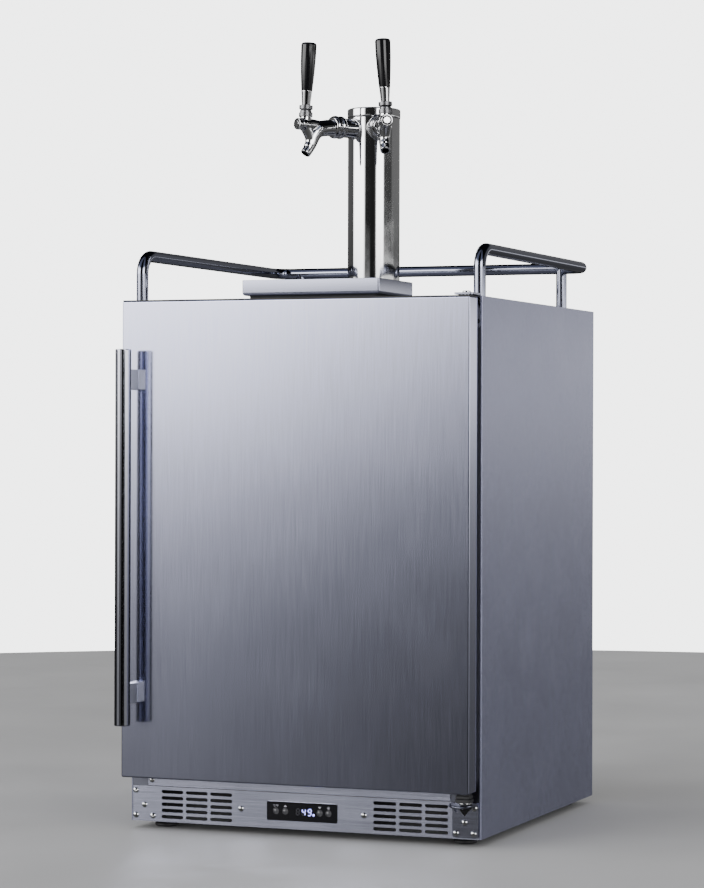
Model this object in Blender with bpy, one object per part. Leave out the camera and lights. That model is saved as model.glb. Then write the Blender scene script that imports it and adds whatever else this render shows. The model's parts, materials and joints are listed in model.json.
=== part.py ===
"""Undercounter kegerator with a two-tap beer tower.

Every design value below is in millimetres. x runs to the right, y runs from the cabinet's front plane
towards its back, and z runs up from the floor. The mesh helpers turn them into metres and move the
origin to the middle of the footprint.
"""
import math

import bmesh
import bpy
from mathutils import Matrix, Vector

# ---- driving dimensions -------------------------------------------------------------------------
MM = 0.001
CASE_W = 600.0            # cabinet width
CASE_D = 558.0            # cabinet depth, without door and handle
CASE_TOP = 847.0          # top panel above the floor
FLOOR_GAP = 12.0          # lower edge of the side panels above the floor
HANDLE_REACH = 91.5       # front of the door handle, ahead of the cabinet's front plane
OVERALL_H = 1276.0        # top of the tap handles
SHEET = 1.0               # sheet metal thickness
GAP = 0.4                 # space between two fixed neighbours
HEM = 3.0                 # width of a folded edge
FRONT_T = 1.2             # thickness of the front frame and the kick plate

# door
DOOR_X0, DOOR_X1 = -297.0, 295.0
DOOR_Z0, DOOR_Z1 = 86.0, 847.0
DOOR_FRONT, SKIN_BACK = -42.0, -10.0
HINGE_X, HINGE_Y = 282.0, -22.0
GASKET_X1 = 284.0         # the gasket's edge beside the hinge, inside the door's turning circle

# hinges
PIN_R, BUSH_R = 4.0, 7.0
LEAF_REACH = 36.0         # front of the hinge leaves, ahead of the cabinet's front plane
LEAF_X0, LEAF_X1, PLATE_X0 = 266.0, 297.0, 284.5
PLATE_LOW = 798.0         # lower end of the upper hinge's screw plate
LOWER_LEAF_TOP = 68.0

# inside
CAVITY_X = 257.0
CAVITY_Z0, CAVITY_Z1 = 108.0, 802.0
CAVITY_BACK = 513.0
HUMP_FRONT, HUMP_TOP = 408.0, 330.0
LINER_T = 2.5
BAY_FRONT, BAY_TOP = 436.0, 290.0
FOAM_FLOOR = 72.0
LINE_HOLE_R = 35.0        # passage for the beer lines under the tower

# front plate
KICK_X, KICK_Z0, KICK_Z1 = 296.7, 12.0, 68.5
SLOT_X = (140.3, 183.4, 226.5)
SLOT_Z = (20.2, 30.3, 40.3, 50.4, 60.4)
SLOT_LENGTH, SLOT_HEIGHT = 38.4, 5.5
PANEL_Z = 40.0
PANEL_W, PANEL_H = 120.0, 30.0
BUTTON_X = (-44.0, -28.0, 31.0, 46.0)
BUTTON_R = 4.25

# handle
BAR_X, BAR_Y, BAR_R = -275.5, -79.0, 12.5
BAR_Z0, BAR_Z1 = 172.5, 767.5
POST_Z = (222.0, 720.0)
POST_W, POST_H = 15.0, 32.0

# gallery rail
RAIL_R = 9.5
RAIL_Z = CASE_TOP + 74.5
RAIL_X = 290.0
RAIL_FRONT_Y, RAIL_BACK_Y = 14.0, 543.0
RAIL_BEND = 30.0
RAIL_REAR_POST_X = 246.0

# drip tray
TRAY_X = 118.6
TRAY_Y0, TRAY_Y1 = 25.0, 168.0
TRAY_Z0, TRAY_Z1 = CASE_TOP + 7.5, CASE_TOP + 33.0

# tower and taps
TOWER_Y = 288.0
TOWER_R = 43.5
TOWER_WALL = 1.4
TOWER_TOP = CASE_TOP + 330.0
CAP_H = 16.0
FLANGE_R, FLANGE_H = 58.0, 10.0
TAP_Z = CASE_TOP + 294.5
TAP_ANGLE = 30.0          # each tap's turn away from straight ahead, in degrees
SLEEVE_R, SLEEVE_END = 16.0, 66.0
NUT_R, NUT_END = 19.0, 88.0
LEVER_B = 141.0           # distance of the lever's axis from the tower's axis
PIVOT_H = 20.0            # centre of the lever's ball above the tap's axis
LEVER_LEAN = 2.8          # degrees that each lever leans towards the middle
LEAN_RISE = 0.25          # height that the lean adds at the handle's rim
HANDLE_SEAT = 35.2        # foot of the handle above the ball's centre
BONNET_R, WELL_R = 11.2, 9.3
SPOUT_TIP_R, SPOUT_BORE_R = 7.4, 4.5
SPOUT_SIDES = 11
BARREL_BORE_R, BARREL_BORE_END = 5.0, 147.0

# machine bay
COMPRESSOR_X, COMPRESSOR_Y = 150.0, 497.0
COMPRESSOR_FOOT = (84.0, 30.0)            # half size of the compressor's foot plate
CONDENSER_X0, CONDENSER_X1 = -240.0, -80.0
CONDENSER_Y0, CONDENSER_Y1 = 512.0, 550.0
CONDENSER_Z0, CONDENSER_Z1 = 20.0, 196.0
SHROUD_Y0, SHROUD_Y1, SHROUD_WALL = 464.0, 508.0, 3.0
CONDENSER_FAN = (-160.0, 478.0, 108.0)
CONDENSER_FAN_R, SHROUD_HOLE_R, MOTOR_R = 62.0, 58.0, 16.0

# cooling coil's cover, inside the cavity
COVER_X0, COVER_X1 = -205.0, 85.0
COVER_Y0 = 458.0
COVER_Z0, COVER_Z1 = 420.0, 780.0
COVER_WALL = 2.5
EVAPORATOR_FAN = (-60.0, 473.0, 700.0)
EVAPORATOR_FAN_R, COVER_HOLE_R = 48.0, 52.0

# gas
CYLINDER_X, CYLINDER_Y, CYLINDER_R = 180.0, 444.0, 66.0
VALVE_BASE = 362.4        # foot of the cylinder's valve above the cylinder's floor
GAUGE_OUT, GAUGE_R = 50.0, 21.0

# base
FOOT_X, FOOT_Y = 258.0, (44.0, 514.0)
FOOT_R, FOOT_H = 19.0, 10.0
STEM_R, STEM_TOP = 5.0, 44.0

ORIGIN_Y = (CASE_D - HANDLE_REACH) / 2.0


# ---- helpers ------------------------------------------------------------------------------------
def clear_scene():
    for obj in list(bpy.data.objects):
        bpy.data.objects.remove(obj, do_unlink=True)


def finish_material(name, rgb, roughness, metallic):
    mat = bpy.data.materials.new(name)
    mat.use_nodes = True
    shader = mat.node_tree.nodes["Principled BSDF"]
    shader.inputs["Base Color"].default_value = (*rgb, 1.0)
    shader.inputs["Roughness"].default_value = roughness
    shader.inputs["Metallic"].default_value = metallic
    return mat


FINISHES = {
    "brushed": ((0.56, 0.56, 0.58), 0.32, 1.0),
    "satin": ((0.62, 0.62, 0.63), 0.22, 1.0),
    "chrome": ((0.78, 0.78, 0.79), 0.05, 1.0),
    "grey_paint": ((0.30, 0.30, 0.33), 0.40, 0.2),
    "galvanised": ((0.50, 0.51, 0.52), 0.45, 0.9),
    "black_gloss": ((0.012, 0.012, 0.013), 0.08, 0.0),
    "black_plastic": ((0.025, 0.025, 0.027), 0.40, 0.0),
    "dark_metal": ((0.03, 0.03, 0.032), 0.45, 0.4),
    "rubber": ((0.035, 0.035, 0.037), 0.75, 0.0),
    "liner": ((0.80, 0.81, 0.82), 0.45, 0.0),
    "foam": ((0.78, 0.70, 0.45), 0.90, 0.0),
    "display": ((0.010, 0.010, 0.012), 0.06, 0.0),
    "button": ((0.10, 0.10, 0.11), 0.25, 0.0),
    "fins": ((0.70, 0.71, 0.72), 0.40, 0.9),
    "brass": ((0.72, 0.52, 0.24), 0.28, 1.0),
    "cylinder_paint": ((0.70, 0.70, 0.71), 0.35, 0.6),
}


def to_frame(point):
    return Vector((point[0] * MM, (point[1] - ORIGIN_Y) * MM, point[2] * MM))


def add_object(name, bm, finish, smooth=35.0):
    """Turn a bmesh that is in millimetres into one object in metres."""
    bmesh.ops.remove_doubles(bm, verts=bm.verts, dist=0.001)
    bmesh.ops.recalc_face_normals(bm, faces=bm.faces)
    for vert in bm.verts:
        vert.co = to_frame(vert.co)
    mesh = bpy.data.meshes.new(name)
    bm.to_mesh(mesh)
    bm.free()
    mesh.shade_smooth()
    mesh.set_sharp_from_angle(angle=math.radians(smooth))
    obj = bpy.data.objects.new(name, mesh)
    bpy.context.scene.collection.objects.link(obj)
    if finish:
        mesh.materials.append(finish_material(name, *FINISHES[finish]))
    return obj


def add_box(bm, low, high):
    centre = [(a + b) / 2.0 for a, b in zip(low, high)]
    size = [b - a for a, b in zip(low, high)]
    matrix = Matrix.Translation(centre) @ Matrix.Diagonal((*size, 1.0))
    bmesh.ops.create_cube(bm, size=1.0, matrix=matrix)


def box(name, low, high, finish, bevel=0.0, segments=2):
    bm = bmesh.new()
    add_box(bm, low, high)
    if bevel:
        bmesh.ops.bevel(bm, geom=bm.edges[:], offset=bevel, segments=segments, profile=0.5,
                        affect="EDGES")
    return add_object(name, bm, finish)


def add_prism(bm, outline, axis, low, high):
    """Extrude a closed outline along one axis. The outline holds the two other coordinates in order."""
    index = "xyz".index(axis)

    def lift(pair, level):
        pair = list(pair)
        pair.insert(index, level)
        return bm.verts.new(pair)

    ring_low = [lift(pair, low) for pair in outline]
    ring_high = [lift(pair, high) for pair in outline]
    bm.faces.new(ring_low)
    bm.faces.new(ring_high)
    count = len(outline)
    for i in range(count):
        j = (i + 1) % count
        bm.faces.new((ring_low[i], ring_low[j], ring_high[j], ring_high[i]))


def prism(name, outline, axis, low, high, finish):
    bm = bmesh.new()
    add_prism(bm, outline, axis, low, high)
    return add_object(name, bm, finish)


def round_rect(x0, x1, y0, y1, radius, steps=4):
    """Outline of a rectangle with round corners."""
    corners = ((x1 - radius, y1 - radius, 0), (x0 + radius, y1 - radius, 90),
               (x0 + radius, y0 + radius, 180), (x1 - radius, y0 + radius, 270))
    points = []
    for cx, cy, start in corners:
        for i in range(steps + 1):
            angle = math.radians(start + 90.0 * i / steps)
            points.append((cx + radius * math.cos(angle), cy + radius * math.sin(angle)))
    return points


def add_turned(bm, profile, matrix=None, steps=32):
    """Turn a closed profile of (radius, height) pairs about the local z axis."""
    matrix = matrix or Matrix.Identity(4)
    columns = []
    for s in range(steps):
        angle = 2.0 * math.pi * s / steps
        column = []
        for radius, height in profile:
            if radius < 1e-6 and columns:
                column.append(columns[0][len(column)])
                continue
            point = Vector((radius * math.cos(angle), radius * math.sin(angle), height))
            column.append(bm.verts.new(matrix @ point))
        columns.append(column)
    count = len(profile)
    for s in range(steps):
        here, there = columns[s], columns[(s + 1) % steps]
        for i in range(count):
            j = (i + 1) % count
            corners = []
            for vert in (here[i], here[j], there[j], there[i]):
                if vert not in corners:
                    corners.append(vert)
            if len(corners) > 2:
                bm.faces.new(corners)


def turned(name, profile, finish, matrix=None, steps=32):
    bm = bmesh.new()
    add_turned(bm, profile, matrix, steps)
    return add_object(name, bm, finish)


def disc_profile(radius, low, high, edge=0.0):
    """Half section of a solid round piece, with small 45 degree edges."""
    if edge:
        return [(0, low), (radius - edge, low), (radius, low + edge), (radius, high - edge),
                (radius - edge, high), (0, high)]
    return [(0, low), (radius, low), (radius, high), (0, high)]


def ring_profile(inner, outer, low, high):
    """Half section of a tube."""
    return [(inner, low), (outer, low), (outer, high), (inner, high)]


def axis_matrix(origin, direction):
    """Matrix that sends the local z axis to a direction from an origin."""
    turn = Vector(direction).to_track_quat("Z", "Y").to_matrix().to_4x4()
    return Matrix.Translation(origin) @ turn


def add_sweep(bm, points, radii, sides=12):
    """Round tube along a path. Each ring stands square to the path; the ends are flat."""
    points = [Vector(p) for p in points]
    if isinstance(radii, (int, float)):
        radii = [radii] * len(points)
    rings = []
    normal = None
    for i, point in enumerate(points):
        before = points[max(i - 1, 0)]
        after = points[min(i + 1, len(points) - 1)]
        tangent = (after - before).normalized()
        if normal is None:
            helper = Vector((0, 0, 1)) if abs(tangent.z) < 0.9 else Vector((1, 0, 0))
            normal = tangent.cross(helper).normalized()
        else:
            normal = (normal - tangent * normal.dot(tangent)).normalized()
        side = tangent.cross(normal)
        ring = []
        for k in range(sides):
            angle = 2.0 * math.pi * k / sides
            ring.append(bm.verts.new(point + (normal * math.cos(angle) + side * math.sin(angle))
                                     * radii[i]))
        rings.append(ring)
    for a, b in zip(rings, rings[1:]):
        for k in range(sides):
            j = (k + 1) % sides
            bm.faces.new((a[k], a[j], b[j], b[k]))
    bm.faces.new(rings[0])
    bm.faces.new(rings[-1])


def rounded_path(corners, bend, steps=5):
    """Polyline through corners with each inner corner replaced by an arc."""
    corners = [Vector(c) for c in corners]
    points = [corners[0]]
    for i in range(1, len(corners) - 1):
        into = (corners[i] - corners[i - 1]).normalized()
        out = (corners[i + 1] - corners[i]).normalized()
        half = into.angle(out) / 2.0
        cut = bend * math.tan(half)
        start = corners[i] - into * cut
        centre = start + (out - into * out.dot(into)).normalized() * bend
        first = start - centre
        for k in range(steps + 1):
            angle = 2.0 * half * k / steps
            points.append(centre + first * math.cos(angle) + into * bend * math.sin(angle))
    points.append(corners[-1])
    return points


def combine(target, operation, *tools):
    """Apply Boolean modifiers to an object and drop the tool objects."""
    for tool in tools:
        modifier = target.modifiers.new(tool.name, "BOOLEAN")
        modifier.operation = operation
        modifier.solver = "EXACT"
        modifier.object = tool
    bpy.context.view_layer.update()
    graph = bpy.context.evaluated_depsgraph_get()
    mesh = bpy.data.meshes.new_from_object(target.evaluated_get(graph))
    target.modifiers.clear()
    target.data = mesh
    mesh.name = target.name
    for tool in tools:
        bpy.data.objects.remove(tool, do_unlink=True)
    return target


def cutter(build):
    """Make a tool object from a function that fills a bmesh."""
    bm = bmesh.new()
    build(bm)
    return add_object("tool", bm, None)


def cut_boxes(target, *boxes):
    return combine(target, "DIFFERENCE", *[cutter(lambda bm, b=b: add_box(bm, *b)) for b in boxes])


def cut_round(target, origin, direction, radius, length, steps=24):
    """Drill a round hole that is centred on origin."""
    matrix = axis_matrix(origin, direction)
    profile = disc_profile(radius, -length / 2.0, length / 2.0)
    return combine(target, "DIFFERENCE",
                   cutter(lambda bm: add_turned(bm, profile, matrix, steps)))


def move(obj, matrix):
    """Move a finished piece by a matrix that is in millimetres."""
    shift = Matrix.Translation((0.0, ORIGIN_Y, 0.0))
    scaled = shift.inverted() @ matrix @ shift
    obj.data.transform(Matrix.Scale(MM, 4) @ scaled @ Matrix.Scale(1.0 / MM, 4))


def carry(pivot_name, pivot, objects):
    """Put a moving body's pieces under one empty that stands on the joint's axis."""
    empty = bpy.data.objects.new(pivot_name, None)
    bpy.context.scene.collection.objects.link(empty)
    empty.location = to_frame(pivot)
    for obj in objects:
        obj.data.transform(Matrix.Translation(-empty.location))
        obj.parent = empty
    return empty


# ---- cabinet ------------------------------------------------------------------------------------
def side_panel(name, side):
    """Flat side sheet with a folded front edge."""
    outer, inner, fold = CASE_W / 2.0, CASE_W / 2.0 - SHEET, CASE_W / 2.0 - HEM
    section = [(outer, 0.6), (outer, CASE_D), (inner, CASE_D), (inner, 10.0), (fold, 10.0),
               (fold, 0.6), (fold + 0.6, 0.0), (outer - 0.6, 0.0)]
    section = [(side * x, y) for x, y in section]
    return prism(name, section, "z", FLOOR_GAP, CASE_TOP, "grey_paint")


def top_panel():
    half = CASE_W / 2.0 - HEM - GAP
    panel = box("top_panel", (-half, 1.6, CASE_TOP - SHEET), (half, CASE_D - 1.6, CASE_TOP), "grey_paint")
    return cut_round(panel, (0, TOWER_Y, CASE_TOP), (0, 0, 1), LINE_HOLE_R, 8.0)


def rear_panel():
    half = CASE_W / 2.0 - HEM - GAP
    low, high = BAY_TOP - 14.0, CASE_TOP - SHEET - GAP
    return box("rear_panel", (-half, CASE_D - SHEET, low), (half, CASE_D, high), "galvanised")


def base_pan():
    half = CASE_W / 2.0 - HEM - GAP
    pan = box("base_pan", (-half, 3.5, 14.0), (half, CASE_D - 1.5, 16.0), "galvanised")
    for x in (-FOOT_X, FOOT_X):
        for y in FOOT_Y:
            cut_round(pan, (x, y, 15.0), (0, 0, 1), STEM_R + GAP, 8.0, 16)
    return pan


def front_frame():
    frame = box("front_frame", (-KICK_X, 0.0, KICK_Z1 + 0.5), (KICK_X, FRONT_T, CASE_TOP - 1.5), "dark_metal")
    half, low, high = CAVITY_X + 0.5, CAVITY_Z0 - 0.5, CAVITY_Z1 + 0.5
    return cut_boxes(frame, ((-half, -5, low), (half, 5, high)))


def inner_liner():
    """Moulded box with a step over the machine bay."""
    t = LINER_T
    outer = [(FRONT_T + GAP, CAVITY_Z0 - t), (HUMP_FRONT + t, CAVITY_Z0 - t),
             (HUMP_FRONT + t, HUMP_TOP - t), (CAVITY_BACK + t, HUMP_TOP - t),
             (CAVITY_BACK + t, CAVITY_Z1 + t), (FRONT_T + GAP, CAVITY_Z1 + t)]
    hollow = [(-8.0, CAVITY_Z0), (HUMP_FRONT, CAVITY_Z0), (HUMP_FRONT, HUMP_TOP),
              (CAVITY_BACK, HUMP_TOP), (CAVITY_BACK, CAVITY_Z1), (-8.0, CAVITY_Z1)]
    liner = prism("inner_liner", outer, "x", -CAVITY_X - t, CAVITY_X + t, "liner")
    combine(liner, "DIFFERENCE",
            cutter(lambda bm: add_prism(bm, hollow, "x", -CAVITY_X, CAVITY_X)))
    return cut_round(liner, (0, TOWER_Y, CAVITY_Z1), (0, 0, 1), LINE_HOLE_R, 30.0)


def insulation():
    """Foam between the liner and the outer sheets."""
    t = LINER_T + GAP
    back = CASE_D - SHEET - GAP
    outer = [(FRONT_T + GAP, FOAM_FLOOR), (BAY_FRONT, FOAM_FLOOR), (BAY_FRONT, BAY_TOP),
             (back, BAY_TOP), (back, CASE_TOP - SHEET - GAP), (FRONT_T + GAP, CASE_TOP - SHEET - GAP)]
    hollow = [(-8.0, CAVITY_Z0 - t), (HUMP_FRONT + t, CAVITY_Z0 - t), (HUMP_FRONT + t, HUMP_TOP - t),
              (CAVITY_BACK + t, HUMP_TOP - t), (CAVITY_BACK + t, CAVITY_Z1 + t), (-8.0, CAVITY_Z1 + t)]
    half = CASE_W / 2.0 - HEM - GAP
    foam = prism("insulation_foam", outer, "x", -half, half, "foam")
    combine(foam, "DIFFERENCE",
            cutter(lambda bm: add_prism(bm, hollow, "x", -CAVITY_X - t, CAVITY_X + t)))
    return cut_round(foam, (0, TOWER_Y, CASE_TOP - 20.0), (0, 0, 1), LINE_HOLE_R, 60.0)


def kick_plate():
    """Front plate with two groups of vent slots and the window for the control panel."""
    plate = box("kick_plate", (-KICK_X, 0.0, KICK_Z0), (KICK_X, FRONT_T, KICK_Z1), "brushed")

    def fill_slots(bm):
        for side in (-1, 1):
            for x in SLOT_X:
                for z in SLOT_Z:
                    outline = round_rect(side * x - SLOT_LENGTH / 2.0, side * x + SLOT_LENGTH / 2.0,
                                         z - SLOT_HEIGHT / 2.0, z + SLOT_HEIGHT / 2.0,
                                         SLOT_HEIGHT / 2.0 - 0.3, 1)
                    add_prism(bm, outline, "y", -3.0, 4.0)

    combine(plate, "DIFFERENCE", cutter(fill_slots))
    window = (PANEL_W / 2.0 - 4.0, PANEL_H / 2.0 - 3.5)
    return cut_boxes(plate, ((-window[0], -3, PANEL_Z - window[1]), (window[0], 4, PANEL_Z + window[1])))


def lower_rail():
    return box("lower_rail", (-269.0, -1.6, KICK_Z1 + 1.0), (250.0, -GAP, DOOR_Z0 - 1.0), "brushed", 0.3, 1)


# ---- hinges -------------------------------------------------------------------------------------
def upper_hinge():
    leaf_low = CASE_TOP + 1.0
    section = [(-LEAF_REACH, leaf_low), (-2.6, leaf_low), (-2.6, PLATE_LOW), (-GAP, PLATE_LOW),
               (-GAP, leaf_low + 3.0), (-LEAF_REACH, leaf_low + 3.0)]
    bracket = prism("upper_hinge_bracket", section, "x", LEAF_X0, LEAF_X1, "brushed")
    cut_boxes(bracket, ((LEAF_X0 - 6.0, -5.0, PLATE_LOW - 8.0), (PLATE_X0, 2.0, leaf_low)))
    pin = [(0, 832.0), (3.4, 832.0), (PIN_R, 833.0), (PIN_R, leaf_low + 4.0), (6.5, leaf_low + 4.0),
           (6.5, leaf_low + 5.4), (5.5, leaf_low + 6.0), (0, leaf_low + 6.0)]
    at = Matrix.Translation((HINGE_X, HINGE_Y, 0))
    return combine(bracket, "UNION", cutter(lambda bm: add_turned(bm, pin, at, 16)))


def lower_hinge():
    """Angle plate screwed over the kick plate, with a fixed pin that carries the door."""
    leaf_top = LOWER_LEAF_TOP
    outline = round_rect(253.5, 296.6, 14.0, leaf_top - 1.0, 5.0, 3)
    plate = prism("lower_hinge_bracket", outline, "y", -2.8, -GAP, "brushed")
    leaf_outline = [(258.0, -GAP), (258.0, 6.0 - LEAF_REACH), (264.0, -LEAF_REACH), (291.0, -LEAF_REACH),
                    (296.6, 6.0 - LEAF_REACH), (296.6, -GAP)]
    leaf = cutter(lambda bm: add_prism(bm, leaf_outline, "z", leaf_top - 3.0, leaf_top))
    combine(plate, "UNION", leaf)
    notch = [(262.0, leaf_top - 6.0), (274.0, leaf_top - 20.0), (286.0, leaf_top - 6.0)]
    combine(plate, "DIFFERENCE", cutter(lambda bm: add_prism(bm, notch, "y", -6.0, 2.0)))
    at = Matrix.Translation((HINGE_X, HINGE_Y, 0))
    pin = [(0, leaf_top - 5.0), (6.5, leaf_top - 5.0), (6.5, leaf_top - 1.0), (9.0, leaf_top - 1.0),
           (9.0, leaf_top + 9.0), (PIN_R, leaf_top + 9.0), (PIN_R, leaf_top + 32.0), (3.2, leaf_top + 33.0),
           (0, leaf_top + 33.0)]
    return combine(plate, "UNION", cutter(lambda bm: add_turned(bm, pin, at, 20)))


# ---- door ---------------------------------------------------------------------------------------
def door_pieces():
    low = (DOOR_X0, DOOR_FRONT, DOOR_Z0)
    high = (DOOR_X1, SKIN_BACK + 6.0, DOOR_Z1)
    skin = box("door_skin", low, high, "brushed", 3.0, 3)
    hollow_low = (DOOR_X0 + SHEET, DOOR_FRONT + SHEET, DOOR_Z0 + SHEET)
    hollow_high = (DOOR_X1 - SHEET, 20.0, DOOR_Z1 - SHEET)
    tool = box("tool", hollow_low, hollow_high, None, 2.0, 2)
    combine(skin, "DIFFERENCE", tool)
    cut_boxes(skin, ((DOOR_X0 - 5, SKIN_BACK, DOOR_Z0 - 5), (DOOR_X1 + 5, 20, DOOR_Z1 + 5)))
    inset = SHEET + GAP
    core = box("door_core", (DOOR_X0 + inset, DOOR_FRONT + inset, DOOR_Z0 + inset),
               (DOOR_X1 - inset, SKIN_BACK, DOOR_Z1 - inset), "liner", 2.0, 1)
    panel = cutter(lambda bm: add_box(bm, (-238.0, SKIN_BACK - 1.0, 130.0), (238.0, -3.0, 784.0)))
    combine(core, "UNION", panel)
    for z, depth in ((DOOR_Z0, 17.0), (DOOR_Z1, 16.0)):
        for piece in (skin, core):
            cut_round(piece, (HINGE_X, HINGE_Y, z), (0, 0, 1), BUSH_R + GAP, 2.0 * depth + 1.0, 16)
    gasket = box("door_gasket", (-GASKET_X1, SKIN_BACK + GAP, 92.0), (GASKET_X1, -0.5, 840.0),
                 "rubber", 1.5, 1)
    cut_boxes(gasket, ((-262.0, -20, 114.0), (262.0, 5, 818.0)))
    at = Matrix.Translation((HINGE_X, HINGE_Y, 0))
    bore = PIN_R + GAP
    cam = turned("hinge_cam_door", [(bore, 77.4), (9.0, 77.4), (9.0, 85.6), (BUSH_R, 85.6), (BUSH_R, 102.5),
                                    (bore, 102.5)], "black_plastic", at, 16)
    bush = turned("upper_hinge_bush", ring_profile(bore, BUSH_R, 831.6, CASE_TOP - 0.2), "black_plastic",
                  at, 16)
    return [skin, core, gasket, cam, bush]


def handle_pieces():
    at = Matrix.Translation((BAR_X, BAR_Y, 0))
    bar = turned("handle_bar", disc_profile(BAR_R, BAR_Z0, BAR_Z1, 1.2), "satin", at, 40)
    pieces = [bar]
    for name, z in zip(("handle_post_lower", "handle_post_upper"), POST_Z):
        post = box(name, (BAR_X - POST_W / 2.0, BAR_Y, z - POST_H / 2.0),
                   (BAR_X + POST_W / 2.0, DOOR_FRONT - GAP, z + POST_H / 2.0), "satin", 1.0, 1)
        cut_round(post, (BAR_X, BAR_Y, z), (0, 0, 1), BAR_R + GAP, 80.0, 40)
        pieces.append(post)
    return pieces


# ---- control panel ------------------------------------------------------------------------------
def control_panel():
    half_w, half_h = PANEL_W / 2.0, PANEL_H / 2.0
    outline = round_rect(-half_w, half_w, PANEL_Z - half_h, PANEL_Z + half_h, 2.0, 2)
    lens = prism("display_lens", outline, "y", -2.0, -GAP, "display")
    for x in BUTTON_X:
        cut_round(lens, (x, -1.0, PANEL_Z), (0, 1, 0), BUTTON_R + 0.3, 8.0, 14)
    housing = box("control_housing", (-66.0, FRONT_T + GAP, PANEL_Z - 21.0), (66.0, 26.0, PANEL_Z + 21.0),
                  "black_plastic")
    cut_boxes(housing, ((-64.0, -5, PANEL_Z - 19.0), (64.0, 24.0, PANEL_Z + 19.0)))
    names = ("unit_button", "up_button", "down_button", "lamp_button")
    for name, x in zip(names, BUTTON_X):
        profile = [(0, -3.4), (2.4, -3.2), (3.8, -2.5), (BUTTON_R, -1.7), (BUTTON_R, 1.5), (2.0, 1.5),
                   (2.0, 8.6), (0, 8.6)]
        matrix = Matrix.Translation((x, 0, PANEL_Z)) @ Matrix.Rotation(-math.pi / 2.0, 4, "X")
        button = turned(name, profile, "button", matrix, 14)
        carry(name + "_axis", (x, 0, PANEL_Z), [button])


# ---- top: rail, tray, tower ---------------------------------------------------------------------
def gallery_rail():
    """One bent tube on four posts: two at the front corners, two under the back run."""
    foot = CASE_TOP + 0.3
    corners = [(-RAIL_X, RAIL_FRONT_Y, foot), (-RAIL_X, RAIL_FRONT_Y, RAIL_Z), (-RAIL_X, RAIL_BACK_Y, RAIL_Z),
               (RAIL_X, RAIL_BACK_Y, RAIL_Z), (RAIL_X, RAIL_FRONT_Y, RAIL_Z), (RAIL_X, RAIL_FRONT_Y, foot)]
    bm = bmesh.new()
    add_sweep(bm, rounded_path(corners, RAIL_BEND, 5), RAIL_R, 12)
    rail = add_object("gallery_rail", bm, "satin")
    for x in (-RAIL_REAR_POST_X, RAIL_REAR_POST_X):
        matrix = Matrix.Translation((x, RAIL_BACK_Y, 0))
        profile = disc_profile(RAIL_R - 0.2, foot, RAIL_Z)
        combine(rail, "UNION", cutter(lambda bm: add_turned(bm, profile, matrix, 12)))


def tray_box(inset, low, high):
    """Opposite corners of a box that stands inside the tray's outline."""
    return ((-TRAY_X + inset, TRAY_Y0 + inset, low), (TRAY_X - inset, TRAY_Y1 - inset, high))


def drip_tray():
    """Open tray on four feet with a ledge that carries the loose slotted grid."""
    tray = box("drip_tray", *tray_box(0.0, TRAY_Z0, TRAY_Z1), "brushed", 3.0, 2)
    wall, above = 1.6, TRAY_Z1 + 5.0
    cut_boxes(tray, tray_box(wall, TRAY_Z0 + wall, above))
    combine(tray, "UNION", cutter(lambda bm: add_box(bm, *tray_box(1.0, TRAY_Z1 - 6.0, TRAY_Z1 - 4.5))))
    cut_boxes(tray, tray_box(5.0, TRAY_Z0 + wall, above))
    feet = []
    for x in (-TRAY_X + 16.0, TRAY_X - 16.0):
        for y in (TRAY_Y0 + 16.0, TRAY_Y1 - 16.0):
            profile = disc_profile(7.0, CASE_TOP + 0.2, TRAY_Z0 + 0.5)
            matrix = Matrix.Translation((x, y, 0))
            feet.append(cutter(lambda bm, p=profile, m=matrix: add_turned(bm, p, m, 16)))
    combine(tray, "UNION", *feet)
    grid = box("drip_grid", *tray_box(2.2, TRAY_Z1 - 4.1, TRAY_Z1 - 2.9), "brushed")

    def fill_slots(bm):
        for column in (-1, 0, 1):
            for row in range(9):
                x = column * 74.0
                y = TRAY_Y0 + 23.5 + row * 12.0
                add_box(bm, (x - 32.0, y - 2.0, TRAY_Z1 - 8.0), (x + 32.0, y + 2.0, TRAY_Z1 + 2.0))

    combine(grid, "DIFFERENCE", cutter(fill_slots))
    return tray, grid


def tap_matrix(side):
    """Local frame of a tap: z runs out of the tower, x points up."""
    angle = math.radians(TAP_ANGLE)
    out = Vector((side * math.sin(angle), -math.cos(angle), 0.0))
    up = Vector((0.0, 0.0, 1.0))
    across = out.cross(up)
    matrix = Matrix.Identity(4)
    for row in range(3):
        matrix[row][0], matrix[row][1], matrix[row][2] = up[row], across[row], out[row]
    matrix.translation = Vector((0.0, TOWER_Y, TAP_Z))
    return matrix


def tower_pieces():
    at = Matrix.Translation((0, TOWER_Y, 0))
    foot = CASE_TOP + 0.3
    inner = TOWER_R - TOWER_WALL
    lip = inner - 3.0
    neck = TOWER_R + GAP
    turned("tower_flange", [(lip, foot), (FLANGE_R, foot), (FLANGE_R, foot + 5.0),
                            (FLANGE_R - 3.0, foot + FLANGE_H), (neck, foot + FLANGE_H), (neck, foot + 3.0),
                            (lip, foot + 3.0)], "chrome", at, 40)
    seam = TOWER_TOP - CAP_H
    column = turned("tower_column", ring_profile(inner, TOWER_R, foot + 3.3, seam), "chrome", at, 40)
    for side in (-1, 1):
        out = tap_matrix(side).to_3x3() @ Vector((0, 0, 1))
        origin = Vector((0, TOWER_Y, TAP_Z)) + out * TOWER_R
        cut_round(column, origin, out, 8.6, 30.0, 16)
    r = TOWER_R + 0.8
    turned("tower_cap", [(0, TOWER_TOP - 3.0), (lip, TOWER_TOP - 3.0), (lip, seam - 8.0),
                         (inner - GAP, seam - 8.0), (inner - GAP, seam + GAP), (r, seam + GAP),
                         (r, TOWER_TOP - 3.5),
                         (r - 1.1, TOWER_TOP - 1.1), (r - 3.5, TOWER_TOP), (0, TOWER_TOP)], "chrome", at, 40)


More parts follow.
